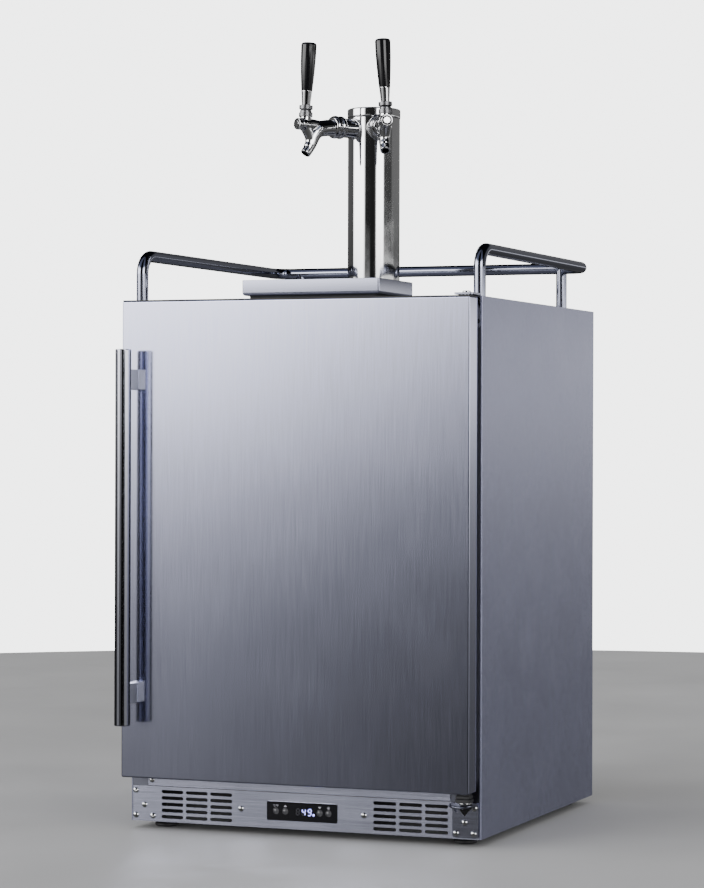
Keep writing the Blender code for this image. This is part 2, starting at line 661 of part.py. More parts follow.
def bezier(points, count):
    """Points on a quadratic curve."""
    a, b, c = (Vector(p) for p in points)
    steps = [i / (count - 1.0) for i in range(count)]
    return [a * (1 - t) ** 2 + b * 2 * t * (1 - t) + c * t * t for t in steps]


def bonnet_profile():
    """Boss and round-topped bonnet that hold the lever's ball, as (radius, height above the tap's axis)."""
    dome = []
    for i in range(5):
        polar = math.radians(90.0 - 8.0 * i)
        dome.append((BONNET_R * math.sin(polar), PIVOT_H + BONNET_R * math.cos(polar)))
    boss = [(0, 2.0), (10.4, 2.0), (10.4, PIVOT_H - 6.0), (11.6, PIVOT_H - 5.0), (11.6, PIVOT_H - 1.0)]
    rim, level = dome[-1]
    return boss + dome + [(rim - 0.4, level), (0, level)]


def faucet_body(name, matrix):
    """Cast tap: tapered barrel, upright bonnet for the lever and a curved spout, with open bores."""
    shoulder = NUT_END + 0.6
    barrel = [(0, 72.0), (11.0, 72.0), (11.0, shoulder), (15.5, shoulder), (15.8, 93.0), (14.6, 102.0),
              (12.4, 114.0), (11.4, 128.0), (10.8, 146.0), (9.2, 152.5), (9.2, 156.0), (8.4, 158.0),
              (6.4, 158.0), (5.2, 159.6), (0, 160.0)]
    body = turned(name, barrel, "chrome", None, 16)
    curve = bezier(((0, 0, 110.0), (-14.0, 0, 134.0), (-45.0, 0, 142.0)), 7)
    spout_radii = [10.2 - (10.2 - SPOUT_TIP_R) * i / 6.0 for i in range(7)]
    spout = cutter(lambda bm: add_sweep(bm, curve, spout_radii, SPOUT_SIDES))
    upright = Matrix.Translation((0, 0, LEVER_B)) @ Matrix.Rotation(math.pi / 2.0, 4, "Y")
    bonnet = cutter(lambda bm: add_turned(bm, bonnet_profile(), upright, 16))
    combine(body, "UNION", spout, bonnet)
    bore = disc_profile(BARREL_BORE_R, 60.0, BARREL_BORE_END)
    valve_bore = cutter(lambda bm: add_turned(bm, bore, None, 10))
    well = cutter(lambda bm: add_turned(bm, disc_profile(WELL_R, 4.0, 60.0), upright, 14))
    tail = curve[-1] + (curve[-1] - curve[-2]).normalized() * 9.0
    spout_bore = cutter(lambda bm: add_sweep(bm, curve[2:] + [tail], SPOUT_BORE_R, 9))
    combine(body, "DIFFERENCE", valve_bore, well, spout_bore)
    move(body, matrix)


def lever_profile():
    """Ball, collar and ferrule of a tap lever: (radius, height above the pivot)."""
    under = []
    for i in range(4):
        polar = math.radians(60.0 - 12.0 * i)
        under.append(((BONNET_R + 0.5) * math.sin(polar), (BONNET_R + 0.5) * math.cos(polar)))
    finger = [(0, -20.4), (1.2, -20.4), (1.3, -15.5), (1.9, -12.0), (1.9, -7.6)]
    ball = [(5.0, -6.2), (7.4, -3.0), (8.0, 0), (7.4, 3.0), (5.0, 6.2), (3.6, 7.2), (3.6, 10.6)]
    collar = under[::-1] + [(11.0, 6.6), (11.0, 12.4), (9.8, 13.4)]
    return finger + ball + collar + [(6.3, 13.6), (6.4, 17.0), (8.5, 34.8), (0, 34.8)]


def tap_pieces(tag, side):
    matrix = tap_matrix(side)
    sleeve = turned("shank_" + tag, disc_profile(SLEEVE_R, 20.0, SLEEVE_END), "chrome", matrix, 24)
    column = cutter(lambda bm: add_turned(bm, disc_profile(TOWER_R + GAP, TAP_Z - 60.0, TAP_Z + 60.0),
                                          Matrix.Translation((0, TOWER_Y, 0)), 40))
    combine(sleeve, "DIFFERENCE", column)
    stem = cutter(lambda bm: add_turned(bm, disc_profile(8.0, 24.0, 71.0), matrix, 20))
    combine(sleeve, "UNION", stem)
    passage = cutter(lambda bm: add_turned(bm, disc_profile(4.2, 10.0, 90.0), matrix, 12))
    combine(sleeve, "DIFFERENCE", passage)
    seat = SLEEVE_END + GAP
    turned("coupling_nut_" + tag, [(11.4, seat), (16.5, seat), (NUT_R, 71.0), (17.8, 76.2), (NUT_R, 81.0),
                                   (16.4, NUT_END), (11.4, NUT_END)], "chrome", matrix, 24)
    faucet_body("faucet_body_" + tag, matrix)
    shaft = turned("valve_shaft_" + tag, [(0, 84.0), (4.4, 84.0), (4.4, 89.0), (2.2, 90.0), (2.2, 139.2),
                                          (0, 139.2)], "brass", matrix, 12)
    pivot = matrix @ Vector((PIVOT_H, 0, LEVER_B))
    leaning = Matrix.Translation(pivot) @ Matrix.Rotation(math.radians(-side * LEVER_LEAN), 4, "Y")
    lever = turned("lever_" + tag, lever_profile(), "chrome", leaning, 16)
    low, high = HANDLE_SEAT, OVERALL_H - TAP_Z - PIVOT_H - LEAN_RISE
    handle = turned("tap_handle_" + tag, [(0, low), (9.0, low), (9.7, low + 12.0), (11.0, low + 34.0),
                                          (12.2, low + 58.0), (12.8, high - 8.0), (12.5, high - 3.0),
                                          (10.5, high - 0.6), (8.0, high), (0, high)], "black_gloss",
                    leaning, 24)
    carry("lever_axis_" + tag, pivot, [lever, handle])
    carry("valve_axis_" + tag, matrix @ Vector((0, 0, 90.0)), [shaft])


# ---- cooling and gas ----------------------------------------------------------------------------
def fan_wheel(name, centre, radius, depth, finish):
    """Axial fan about the y axis: a hub with five pitched blades."""
    matrix = Matrix.Translation(centre) @ Matrix.Rotation(-math.pi / 2.0, 4, "X")
    wheel = turned(name, disc_profile(radius * 0.3, -depth / 2.0, depth / 2.0, 1.0), finish, matrix, 20)
    blades = []
    for i in range(5):
        spin = Matrix.Rotation(2.0 * math.pi * i / 5.0, 4, "Y")
        pitch = Matrix.Rotation(math.radians(34.0), 4, "Z")
        low = (-radius * 0.22, -0.8, radius * 0.2)
        high = (radius * 0.22, 0.8, radius * 0.97)
        bm = bmesh.new()
        add_box(bm, low, high)
        bmesh.ops.transform(bm, matrix=Matrix.Translation(centre) @ spin @ pitch, verts=bm.verts)
        blades.append(add_object("tool", bm, None))
    combine(wheel, "UNION", *blades)
    carry(name + "_axis", centre, [wheel])


def machine_bay():
    """Compressor, condenser and fan behind the cavity's step, open to the back."""
    at = Matrix.Translation((COMPRESSOR_X, COMPRESSOR_Y, 0))
    shell = [(0, 24.0), (40.0, 24.0), (52.0, 30.0), (56.0, 44.0), (56.0, 96.0), (57.5, 98.0), (57.5, 101.0),
             (56.0, 103.0), (55.0, 150.0), (46.0, 172.0), (26.0, 183.0), (0, 186.0)]
    compressor = turned("compressor", shell, "dark_metal", at, 24)
    half_x, half_y = COMPRESSOR_FOOT
    feet = cutter(lambda bm: add_box(bm, (COMPRESSOR_X - half_x, COMPRESSOR_Y - half_y, 16.3),
                                     (COMPRESSOR_X + half_x, COMPRESSOR_Y + half_y, 25.0)))
    combine(compressor, "UNION", feet)
    condenser = box("condenser", (CONDENSER_X0, CONDENSER_Y0, CONDENSER_Z0),
                    (CONDENSER_X1, CONDENSER_Y1, CONDENSER_Z1), "fins")
    grooves = [CONDENSER_Z0 + 14.0 + i * 32.0 for i in range(5)]
    cut_boxes(condenser, *[((CONDENSER_X0 - 10.0, CONDENSER_Y0 - 4.0, z),
                            (CONDENSER_X1 + 10.0, CONDENSER_Y0 + 8.0, z + 16.0)) for z in grooves])
    fan_x, _, fan_z = CONDENSER_FAN
    fan_wheel("condenser_fan", CONDENSER_FAN, CONDENSER_FAN_R, 12.0, "black_plastic")
    wall = SHROUD_WALL
    shroud = box("fan_shroud", (CONDENSER_X0, SHROUD_Y0, CONDENSER_Z0),
                 (CONDENSER_X1, SHROUD_Y1, CONDENSER_Z1), "black_plastic")
    cut_boxes(shroud, ((CONDENSER_X0 + wall, SHROUD_Y0 + wall, CONDENSER_Z0 + wall),
                       (CONDENSER_X1 - wall, SHROUD_Y1 + 12.0, CONDENSER_Z1 - wall)))
    cut_round(shroud, (fan_x, SHROUD_Y0 + 1.0, fan_z), (0, 1, 0), SHROUD_HOLE_R, 20.0, 28)
    motor = Matrix.Translation((fan_x, 0, fan_z)) @ Matrix.Rotation(-math.pi / 2.0, 4, "X")
    strut_back = SHROUD_Y0 + 2.4
    combine(shroud, "UNION",
            cutter(lambda bm: add_turned(bm, disc_profile(MOTOR_R, SHROUD_Y0 - 15.0, strut_back), motor, 20)),
            cutter(lambda bm: add_box(bm, (fan_x - 68.0, SHROUD_Y0 + 0.6, fan_z - 4.0),
                                      (fan_x + 68.0, strut_back, fan_z + 4.0))))
    inlet = box("power_inlet", (0.0, 526.0, 16.4), (34.0, 556.0, 44.0), "black_plastic")
    cut_boxes(inlet, ((5.0, 548.0, 21.0), (29.0, 570.0, 39.0)))


def evaporator():
    """Cover with a fan and air slots in front of the cooling coil's space on the back wall."""
    back, wall = CAVITY_BACK - GAP, COVER_WALL
    cover = box("evaporator_cover", (COVER_X0, COVER_Y0, COVER_Z0), (COVER_X1, back, COVER_Z1),
                "liner", 4.0, 2)
    cut_boxes(cover, ((COVER_X0 + wall, COVER_Y0 + wall, COVER_Z0 + wall),
                      (COVER_X1 - wall, back + 9.0, COVER_Z1 - wall)))
    cut_round(cover, (EVAPORATOR_FAN[0], COVER_Y0, EVAPORATOR_FAN[2]), (0, 1, 0), COVER_HOLE_R, 12.0, 32)
    slots = [COVER_Z0 + 30.0 + i * 16.0 for i in range(6)]
    cut_boxes(cover, *[((COVER_X0 + 45.0, COVER_Y0 - 5.0, z), (COVER_X1 - 45.0, COVER_Y0 + 8.0, z + 6.0))
                       for z in slots])
    fan_wheel("evaporator_fan", EVAPORATOR_FAN, EVAPORATOR_FAN_R, 9.0, "black_plastic")


def gas_supply():
    """Carbon dioxide cylinder on the step, with its valve and pressure regulator."""
    x, y = CYLINDER_X, CYLINDER_Y
    at = Matrix.Translation((x, y, 0))
    floor = HUMP_TOP + 0.3
    r = CYLINDER_R
    shell = [(0, floor + 6.0), (30.0, floor + 6.0), (46.0, floor), (54.0, floor), (r - 2.0, floor + 10.0),
             (r, floor + 22.0), (r, floor + 290.0), (r - 4.0, floor + 316.0), (48.0, floor + 338.0),
             (24.0, floor + 350.0), (15.0, floor + 354.0), (12.5, floor + 364.0), (12.5, floor + 392.0),
             (9.0, floor + 397.0), (4.0, floor + 397.0), (4.0, floor + 403.0), (0, floor + 403.0)]
    turned("co2_cylinder", shell, "cylinder_paint", at, 24)
    base = floor + VALVE_BASE
    wheel = turned("co2_valve_knob", [(4.4, base + 36.0), (14.0, base + 36.0), (18.0, base + 38.0),
                                      (18.0, base + 46.0), (14.0, base + 49.0), (0, base + 49.0),
                                      (0, base + 41.0), (4.4, base + 41.0)], "black_plastic", at, 12)
    carry("co2_valve_axis", (x, y, base), [wheel])
    z = base + 20.0
    left = Matrix.Translation((x, y, z)) @ Matrix.Rotation(-math.pi / 2.0, 4, "Y")
    body = turned("regulator_body", [(0, 12.9), (8.0, 12.9), (8.0, 34.0), (20.0, 37.0), (22.0, 42.0),
                                     (22.0, 62.0), (17.0, 70.0), (10.0, 74.0), (3.0, 74.0), (3.0, 78.0),
                                     (0, 78.0)], "brass", left, 20)
    front = Matrix.Translation((x - GAUGE_OUT, y, z)) @ Matrix.Rotation(math.pi / 2.0, 4, "X")
    gauge = [(0, 10.4), (5.0, 10.4), (5.0, 30.0), (GAUGE_R - 2.0, 30.0), (GAUGE_R, 32.0), (GAUGE_R, 42.0),
             (GAUGE_R - 2.0, 44.0), (0, 44.0)]
    combine(body, "UNION", cutter(lambda bm: add_turned(bm, gauge, front, 24)))
    knob = turned("regulator_knob", [(3.4, 75.0), (11.0, 75.0), (12.0, 77.0), (12.0, 92.0), (10.0, 95.0),
                                     (0, 95.0), (0, 79.0), (3.4, 79.0)], "black_plastic", left, 12)
    carry("regulator_axis", (x, y, z), [knob])


def levelling_feet():
    index = 0
    for x in (-FOOT_X, FOOT_X):
        for y in FOOT_Y:
            index += 1
            foot = turned("levelling_foot_%d" % index,
                          [(0, 0), (FOOT_R - 2.0, 0), (FOOT_R, 2.0), (FOOT_R, 5.0), (FOOT_R - 6.0, FOOT_H),
                           (STEM_R, FOOT_H), (STEM_R, STEM_TOP), (0, STEM_TOP)],
                          "black_plastic", Matrix.Translation((x, y, 0)), 16)
            carry("foot_axis_%d" % index, (x, y, 0), [foot])


def build():
    clear_scene()
    side_panel("side_panel_left", -1)
    side_panel("side_panel_right", 1)
    top_panel()
    rear_panel()
    base_pan()
    front_frame()
    inner_liner()
    insulation()
    kick_plate()
    lower_rail()
    upper_hinge()
    lower_hinge()
    door = door_pieces() + handle_pieces()
    carry("door_axis", (HINGE_X, HINGE_Y, DOOR_Z0), door)
    control_panel()
    gallery_rail()
    tray, grid = drip_tray()
    carry("drip_tray_slide", (0, TRAY_Y0, TRAY_Z0), [tray])
    carry("drip_grid_slide", (0, TRAY_Y0, TRAY_Z1), [grid])
    tower_pieces()
    tap_pieces("left", -1)
    tap_pieces("right", 1)
    machine_bay()
    evaporator()
    gas_supply()
    levelling_feet()


build()
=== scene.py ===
"""Looks of the undercounter kegerator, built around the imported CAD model.

Design values are in millimetres. x runs to the right, y runs back from the cabinet's front plane and z runs
up from the floor. place() turns them into the frame's metres.
"""
import json
import math

import bmesh
import bpy
from mathutils import Matrix, Vector

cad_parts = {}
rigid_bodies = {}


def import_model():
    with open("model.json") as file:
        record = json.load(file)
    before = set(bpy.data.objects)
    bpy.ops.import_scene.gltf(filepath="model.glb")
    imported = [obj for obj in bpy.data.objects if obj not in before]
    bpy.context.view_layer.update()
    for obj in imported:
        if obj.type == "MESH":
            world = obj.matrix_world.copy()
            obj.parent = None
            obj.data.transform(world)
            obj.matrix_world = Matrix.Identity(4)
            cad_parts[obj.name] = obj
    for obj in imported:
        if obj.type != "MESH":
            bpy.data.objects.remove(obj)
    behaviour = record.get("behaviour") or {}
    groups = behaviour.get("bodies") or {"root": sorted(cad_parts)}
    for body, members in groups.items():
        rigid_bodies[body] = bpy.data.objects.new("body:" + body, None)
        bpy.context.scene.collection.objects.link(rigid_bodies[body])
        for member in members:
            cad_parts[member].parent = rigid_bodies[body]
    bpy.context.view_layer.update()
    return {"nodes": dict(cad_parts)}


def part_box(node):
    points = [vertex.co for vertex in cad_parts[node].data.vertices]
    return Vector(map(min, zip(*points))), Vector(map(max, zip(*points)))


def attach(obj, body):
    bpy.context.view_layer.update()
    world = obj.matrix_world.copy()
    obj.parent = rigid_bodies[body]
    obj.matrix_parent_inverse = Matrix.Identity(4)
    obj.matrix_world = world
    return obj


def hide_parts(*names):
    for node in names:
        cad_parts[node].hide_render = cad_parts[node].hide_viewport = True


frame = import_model()
MM = 0.001
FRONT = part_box("kick_plate")[0].y


# ---- places read from the frame -----------------------------------------------------------------
def low(node):
    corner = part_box(node)[0]
    return Vector((corner.x, corner.y - FRONT, corner.z)) / MM


def high(node):
    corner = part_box(node)[1]
    return Vector((corner.x, corner.y - FRONT, corner.z)) / MM


def ends(node):
    return low(node), high(node)


def middle(node):
    return (low(node) + high(node)) / 2.0


def place(point):
    return Vector((point[0] * MM, point[1] * MM + FRONT, point[2] * MM))


TOP = high("top_panel").z
TOWER = middle("tower_column")
TOWER_R = (high("tower_column").x - low("tower_column").x) / 2.0
TAP_Z = middle("coupling_nut_left").z
TAP_ANGLE = 30.0
LEVER_B = 141.0           # lever's pivot, out from the tower's axis
PIVOT_H = 20.0            # and above the tap's axis
LEAN = 2.8                # lever leans inwards, degrees
HINGE = middle("hinge_cam_door")
WEDGE_OFF = 8.0           # the lower hinge's open wedge, left of the pin
COMPRESSOR = (150.0, 497.0)


# ---- mesh tools ---------------------------------------------------------------------------------
def piece(name, bm, body, finish, replaces=(), slot=None, smooth=32.0):
    """Turn a bmesh in millimetres into a shown piece that rides on a body."""
    bmesh.ops.remove_doubles(bm, verts=bm.verts, dist=0.002)
    bmesh.ops.recalc_face_normals(bm, faces=bm.faces)
    for vert in bm.verts:
        vert.co = place(vert.co)
    mesh = bpy.data.meshes.new(name)
    bm.to_mesh(mesh)
    bm.free()
    mesh.shade_smooth()
    mesh.set_sharp_from_angle(angle=math.radians(smooth))
    obj = bpy.data.objects.new(name, mesh)
    bpy.context.scene.collection.objects.link(obj)
    if finish is None:
        return obj
    mesh.materials.append(finish)
    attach(obj, body)
    if replaces:
        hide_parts(*([replaces] if isinstance(replaces, str) else replaces))
    return obj


def add_block(bm, lo, hi, bevel=0.0, segments=3):
    centre = [(a + b) / 2.0 for a, b in zip(lo, hi)]
    size = [b - a for a, b in zip(lo, hi)]
    made = bmesh.ops.create_cube(bm, size=1.0, matrix=Matrix.Translation(centre)
        @ Matrix.Diagonal((*size, 1.0)))
    if bevel:
        edges = {e for v in made["verts"] for e in v.link_edges}
        bmesh.ops.bevel(bm, geom=list(edges), offset=bevel, segments=segments, profile=0.5, affect="EDGES")


def block(name, lo, hi, body, finish, bevel=1.0, segments=3, **more):
    bm = bmesh.new()
    add_block(bm, lo, hi, bevel, segments)
    return piece(name, bm, body, finish, **more)


def soften(profile, radius=0.5, steps=3):
    """Round the corners of a profile of (radius, height) pairs, leaving the points on the axis."""
    points = [Vector(p) for p in profile]
    count = len(points)
    result = []
    for i, here in enumerate(points):
        before, after = points[i - 1], points[(i + 1) % count]
        if here.x < 1e-6:
            result.append(here)
            continue
        back, ahead = before - here, after - here
        cut_back = min(radius, back.length * 0.45)
        cut_ahead = min(radius, ahead.length * 0.45)
        if back.angle(ahead) > math.radians(168.0):
            result.append(here)
            continue
        start = here + back.normalized() * cut_back
        end = here + ahead.normalized() * cut_ahead
        for k in range(steps + 1):
            t = k / steps
            result.append(start * (1 - t) ** 2 + here * 2 * t * (1 - t) + end * t * t)
    return [(p.x, p.y) for p in result]


def add_turned(bm, profile, matrix=None, steps=64):
    matrix = matrix or Matrix.Identity(4)
    columns = []
    for s in range(steps):
        angle = 2.0 * math.pi * s / steps
        column = []
        for radius, height in profile:
            if radius < 1e-6 and columns:
                column.append(columns[0][len(column)])
                continue
            point = Vector((radius * math.cos(angle), radius * math.sin(angle), height))
            column.append(bm.verts.new(matrix @ point))
        columns.append(column)
    count = len(profile)
    for s in range(steps):
        here, there = columns[s], columns[(s + 1) % steps]
        for i in range(count):
            j = (i + 1) % count
            corners = []
            for vert in (here[i], here[j], there[j], there[i]):
                if vert not in corners:
                    corners.append(vert)
            if len(corners) > 2:
                bm.faces.new(corners)


def turned(name, profile, body, finish, matrix=None, steps=64, **more):
    bm = bmesh.new()
    add_turned(bm, profile, matrix, steps)
    return piece(name, bm, body, finish, **more)


def upright(x, y, z=0.0):
    return Matrix.Translation((x, y, z))


def facing(x, y, z):
    """Local z points out of the front, towards -y."""
    return Matrix.Translation((x, y, z)) @ Matrix.Rotation(math.pi / 2.0, 4, "X")


def add_loft(bm, rings, closed=False):
    """Skin a row of rings, capped at both ends or closed into a loop."""
    rows = [[bm.verts.new(p) for p in ring] for ring in rings]
    count = len(rows[0])
    pairs = list(zip(rows, rows[1:]))
    if closed:
        pairs.append((rows[-1], rows[0]))
    for a, b in pairs:
        for k in range(count):
            j = (k + 1) % count
            bm.faces.new((a[k], a[j], b[j], b[k]))
    if not closed:
        bm.faces.new(rows[0])
        bm.faces.new(rows[-1])


def lofted(name, rings, body, finish, **more):
    bm = bmesh.new()
    add_loft(bm, rings)
    return piece(name, bm, body, finish, **more)


def round_rect(x0, x1, y0, y1, radius, steps=6):
    corners = ((x1 - radius, y1 - radius, 0), (x0 + radius, y1 - radius, 90),
        (x0 + radius, y0 + radius, 180), (x1 - radius, y0 + radius, 270))
    points = []
    for cx, cy, start in corners:
        for i in range(steps + 1):
            angle = math.radians(start + 90.0 * i / steps)
            points.append((cx + radius * math.cos(angle), cy + radius * math.sin(angle)))
    return points


def pressed(x0, x1, z0, z1, radius, levels, steps=6):
    """Rings of a pressed panel: each level is (inset from the outline, y)."""
    rings = []
    for inset, y in levels:
        corner = max(radius - inset, 0.6)
        outline = round_rect(x0 + inset, x1 - inset, z0 + inset, z1 - inset, corner, steps)
        rings.append([(x, y, z) for x, z in outline])
    return rings


def add_sweep(bm, points, radii, sides=32, closed=False):
    points = [Vector(p) for p in points]
    if isinstance(radii, (int, float)):
        radii = [radii] * len(points)
    rings = []
    normal = None
    last = len(points) - 1
    for i, point in enumerate(points):
        before = points[i - 1] if (closed or i) else point
        after = points[(i + 1) % len(points)] if (closed or i < last) else point
        tangent = (after - before).normalized()
        if normal is None:
            helper = Vector((0, 0, 1)) if abs(tangent.z) < 0.9 else Vector((1, 0, 0))
            normal = tangent.cross(helper).normalized()
        else:
            normal = (normal - tangent * normal.dot(tangent)).normalized()
        side = tangent.cross(normal)
        rings.append([point + (normal * math.cos(a) + side * math.sin(a)) * radii[i]
            for a in (2.0 * math.pi * k / sides for k in range(sides))])
    add_loft(bm, rings, closed=closed)


def tube(name, points, radius, body, finish, sides=24, **more):
    bm = bmesh.new()
    add_sweep(bm, points, radius, sides)
    return piece(name, bm, body, finish, **more)


def rounded_path(corners, bend, steps=10):
    corners = [Vector(c) for c in corners]
    points = [corners[0]]
    for i in range(1, len(corners) - 1):
        into = (corners[i] - corners[i - 1]).normalized()
        out = (corners[i + 1] - corners[i]).normalized()
        half = into.angle(out) / 2.0
        start = corners[i] - into * bend * math.tan(half)
        centre = start + (out - into * out.dot(into)).normalized() * bend
        first = start - centre
        for k in range(steps + 1):
            angle = 2.0 * half * k / steps
            points.append(centre + first * math.cos(angle) + into * bend * math.sin(angle))
    points.append(corners[-1])
    return points


def tool(fill, *values):
    """A cutter or an addition for combine(), filled by one of the mesh tools."""
    bm = bmesh.new()
    fill(bm, *values)
    return piece("tool", bm, None, None)


def settle(obj):
    """Apply an object's modifiers and keep its shading."""
    bpy.context.view_layer.update()
    graph = bpy.context.evaluated_depsgraph_get()
    mesh = bpy.data.meshes.new_from_object(obj.evaluated_get(graph))
    obj.modifiers.clear()
    obj.data = mesh
    mesh.name = obj.name


def combine(target, operation, *tools):
    for item in tools:
        modifier = target.modifiers.new(item.name, "BOOLEAN")
        modifier.operation = operation
        modifier.solver = "EXACT"
        modifier.object = item
    settle(target)
    for item in tools:
        bpy.data.objects.remove(item, do_unlink=True)
    target.data.shade_smooth()
    target.data.set_sharp_from_angle(angle=math.radians(32.0))
    return target


def prism(bm, outline, axis, lo, hi):
    index = "xyz".index(axis)

    def lift(pair, level):
        pair = list(pair)
        pair.insert(index, level)
        return pair

    add_loft(bm, [[lift(p, lo) for p in outline], [lift(p, hi) for p in outline]])


def extruded(name, outline, axis, lo, hi, body, finish, **more):
    bm = bmesh.new()
    prism(bm, outline, axis, lo, hi)
    return piece(name, bm, body, finish, **more)


def edge_bevel(obj, width, segments=2, angle=40.0):
    modifier = obj.modifiers.new("edge", "BEVEL")
    modifier.width = width * MM
    modifier.segments = segments
    modifier.limit_method = "ANGLE"
    modifier.angle_limit = math.radians(angle)
    return obj


# ---- materials ----------------------------------------------------------------------------------
def shader(name, rgb, roughness, metallic=0.0, coat=0.0):
    mat = bpy.data.materials.new(name)
    mat.use_nodes = True
    bsdf = mat.node_tree.nodes["Principled BSDF"]
    bsdf.inputs["Base Color"].default_value = (*rgb, 1.0)
    bsdf.inputs["Roughness"].default_value = roughness
    bsdf.inputs["Metallic"].default_value = metallic
    bsdf.inputs["Coat Weight"].default_value = coat
    return mat


def noise(mat, scale, stretch=(1.0, 1.0, 1.0), detail=3.0, roughness=0.55):
    """Noise value over the object's own coordinates, in cycles per metre."""
    nodes, links = mat.node_tree.nodes, mat.node_tree.links
    coords = nodes.new("ShaderNodeTexCoord")
    mapping = nodes.new("ShaderNodeMapping")
    mapping.inputs["Scale"].default_value = [scale * s for s in stretch]
    texture = nodes.new("ShaderNodeTexNoise")
    texture.inputs["Scale"].default_value = 1.0
    texture.inputs["Detail"].default_value = detail
    texture.inputs["Roughness"].default_value = roughness
    links.new(coords.outputs["Object"], mapping.inputs["Vector"])
    links.new(mapping.outputs["Vector"], texture.inputs["Vector"])
    return texture.outputs["Fac"]


def spread(mat, value, lo, hi, from_lo=0.3, from_hi=0.7):
    node = mat.node_tree.nodes.new("ShaderNodeMapRange")
    node.inputs["From Min"].default_value = from_lo
    node.inputs["From Max"].default_value = from_hi
    node.inputs["To Min"].default_value = lo
    node.inputs["To Max"].default_value = hi
    mat.node_tree.links.new(value, node.inputs["Value"])
    return node.outputs["Result"]


def tint(mat, value, rgb_a, rgb_b):
    """Drive the base colour between two colours."""
    node = mat.node_tree.nodes.new("ShaderNodeMix")
    node.data_type = "RGBA"
    node.inputs["A"].default_value = (*rgb_a, 1.0)
    node.inputs["B"].default_value = (*rgb_b, 1.0)
    mat.node_tree.links.new(value, node.inputs["Factor"])
    bsdf = mat.node_tree.nodes["Principled BSDF"]
    mat.node_tree.links.new(node.outputs["Result"], bsdf.inputs["Base Color"])


def rough(mat, value):
    bsdf = mat.node_tree.nodes["Principled BSDF"]
    mat.node_tree.links.new(value, bsdf.inputs["Roughness"])


def bump(mat, value, distance, strength=1.0):
    """Relief with its height in millimetres."""
    node = mat.node_tree.nodes.new("ShaderNodeBump")
    node.inputs["Strength"].default_value = strength
    node.inputs["Distance"].default_value = distance * MM
    mat.node_tree.links.new(value, node.inputs["Height"])
    bsdf = mat.node_tree.nodes["Principled BSDF"]
    mat.node_tree.links.new(node.outputs["Normal"], bsdf.inputs["Normal"])


def total(mat, a, b, share):
    """a + share * b"""
    node = mat.node_tree.nodes.new("ShaderNodeMath")
    node.operation = "MULTIPLY_ADD"
    node.inputs[1].default_value = share
    mat.node_tree.links.new(b, node.inputs[0])
    mat.node_tree.links.new(a, node.inputs[2])
    return node.outputs[0]


def brushed(name, stretch, rgb, rough_range, relief=0.02, contrast=0.08):
    """Steel with fine parallel scratches and faint cloudy handling marks."""
    mat = shader(name, rgb, 0.3, 1.0)
    grain = noise(mat, 1100.0, stretch, 4.0, 0.65)
    cloud = noise(mat, 7.0, (1, 1, 1), 2.0)
    both = total(mat, grain, cloud, 0.45)
    rough(mat, spread(mat, both, rough_range[0], rough_range[1], 0.45, 1.0))
    dark = [c * (1.0 - contrast) for c in rgb]
    light = [min(1.0, c * (1.0 + contrast)) for c in rgb]
    tint(mat, spread(mat, grain, 0.0, 1.0), dark, light)
    bump(mat, grain, relief, 0.5)
    return mat


def polished(name, rgb, base_rough=0.04):
    mat = shader(name, rgb, base_rough, 1.0)
    smear = noise(mat, 22.0, (1, 1, 1), 3.0)
    rough(mat, spread(mat, smear, base_rough, base_rough * 2.4))
    bump(mat, noise(mat, 60.0, (1, 1, 0.4), 2.0), 0.006, 0.4)
    return mat


def painted(name, rgb, base_rough, metallic=0.0, scale=1400.0, relief=0.02, coat=0.0):
    mat = shader(name, rgb, base_rough, metallic, coat)
    skin = noise(mat, scale, (1, 1, 1), 3.0)
    cloud = noise(mat, 9.0)
    rough(mat, spread(mat, total(mat, skin, cloud, 0.6), base_rough * 0.85, base_rough * 1.2, 0.5, 1.1))
    tint(mat, spread(mat, cloud, 0.0, 1.0), [c * 0.95 for c in rgb], [min(1, c * 1.04) for c in rgb])
    bump(mat, skin, relief, 0.5)
    return mat


def glowing(name, rgb, power):
    mat = shader(name, rgb, 0.3)
    bsdf = mat.node_tree.nodes["Principled BSDF"]
    bsdf.inputs["Emission Color"].default_value = (*rgb, 1.0)
    bsdf.inputs["Emission Strength"].default_value = power
    return mat


STEEL_UPRIGHT = brushed("steel_upright_grain", (1.0, 1.0, 0.012), (0.57, 0.585, 0.75), (0.10, 0.15), 0.012,
    0.05)
STEEL_TUBE = brushed("steel_tube", (1.0, 1.0, 0.03), (0.60, 0.61, 0.70), (0.07, 0.12), 0.004, 0.03)
STEEL_RAIL = brushed("steel_rail", (1.0, 1.0, 1.0), (0.32, 0.335, 0.42), (0.07, 0.12), 0.002, 0.03)
STEEL_POST = brushed("steel_post", (1.0, 1.0, 0.05), (0.86, 0.87, 0.90), (0.30, 0.40), 0.006, 0.04)
FRAME_STEEL = brushed("frame_steel", (0.012, 1.0, 1.0), (0.20, 0.205, 0.25), (0.26, 0.36), 0.012, 0.06)
CHROME = polished("chrome", (0.82, 0.82, 0.83))
COLLAR = brushed("collar_satin", (1.0, 1.0, 0.05), (0.24, 0.24, 0.25), (0.30, 0.38), 0.003, 0.05)
PANEL_GREY = painted("grey_paint", (0.37, 0.382, 0.53), 0.26, 0.8, 1500.0, 0.012)
TOP_GREY = painted("top_paint", (0.30, 0.305, 0.34), 0.30, 0.6, 1500.0, 0.012)
GALVANISED = painted("galvanised", (0.50, 0.51, 0.52), 0.42, 0.9, 300.0, 0.01)
KICK_STEEL = brushed("kick_steel", (0.012, 1.0, 1.0), (0.72, 0.74, 0.92), (0.19, 0.28), 0.012, 0.06)
HINGE_STEEL = brushed("hinge_steel", (0.012, 1.0, 1.0), (0.37, 0.38, 0.47), (0.16, 0.24), 0.010, 0.06)
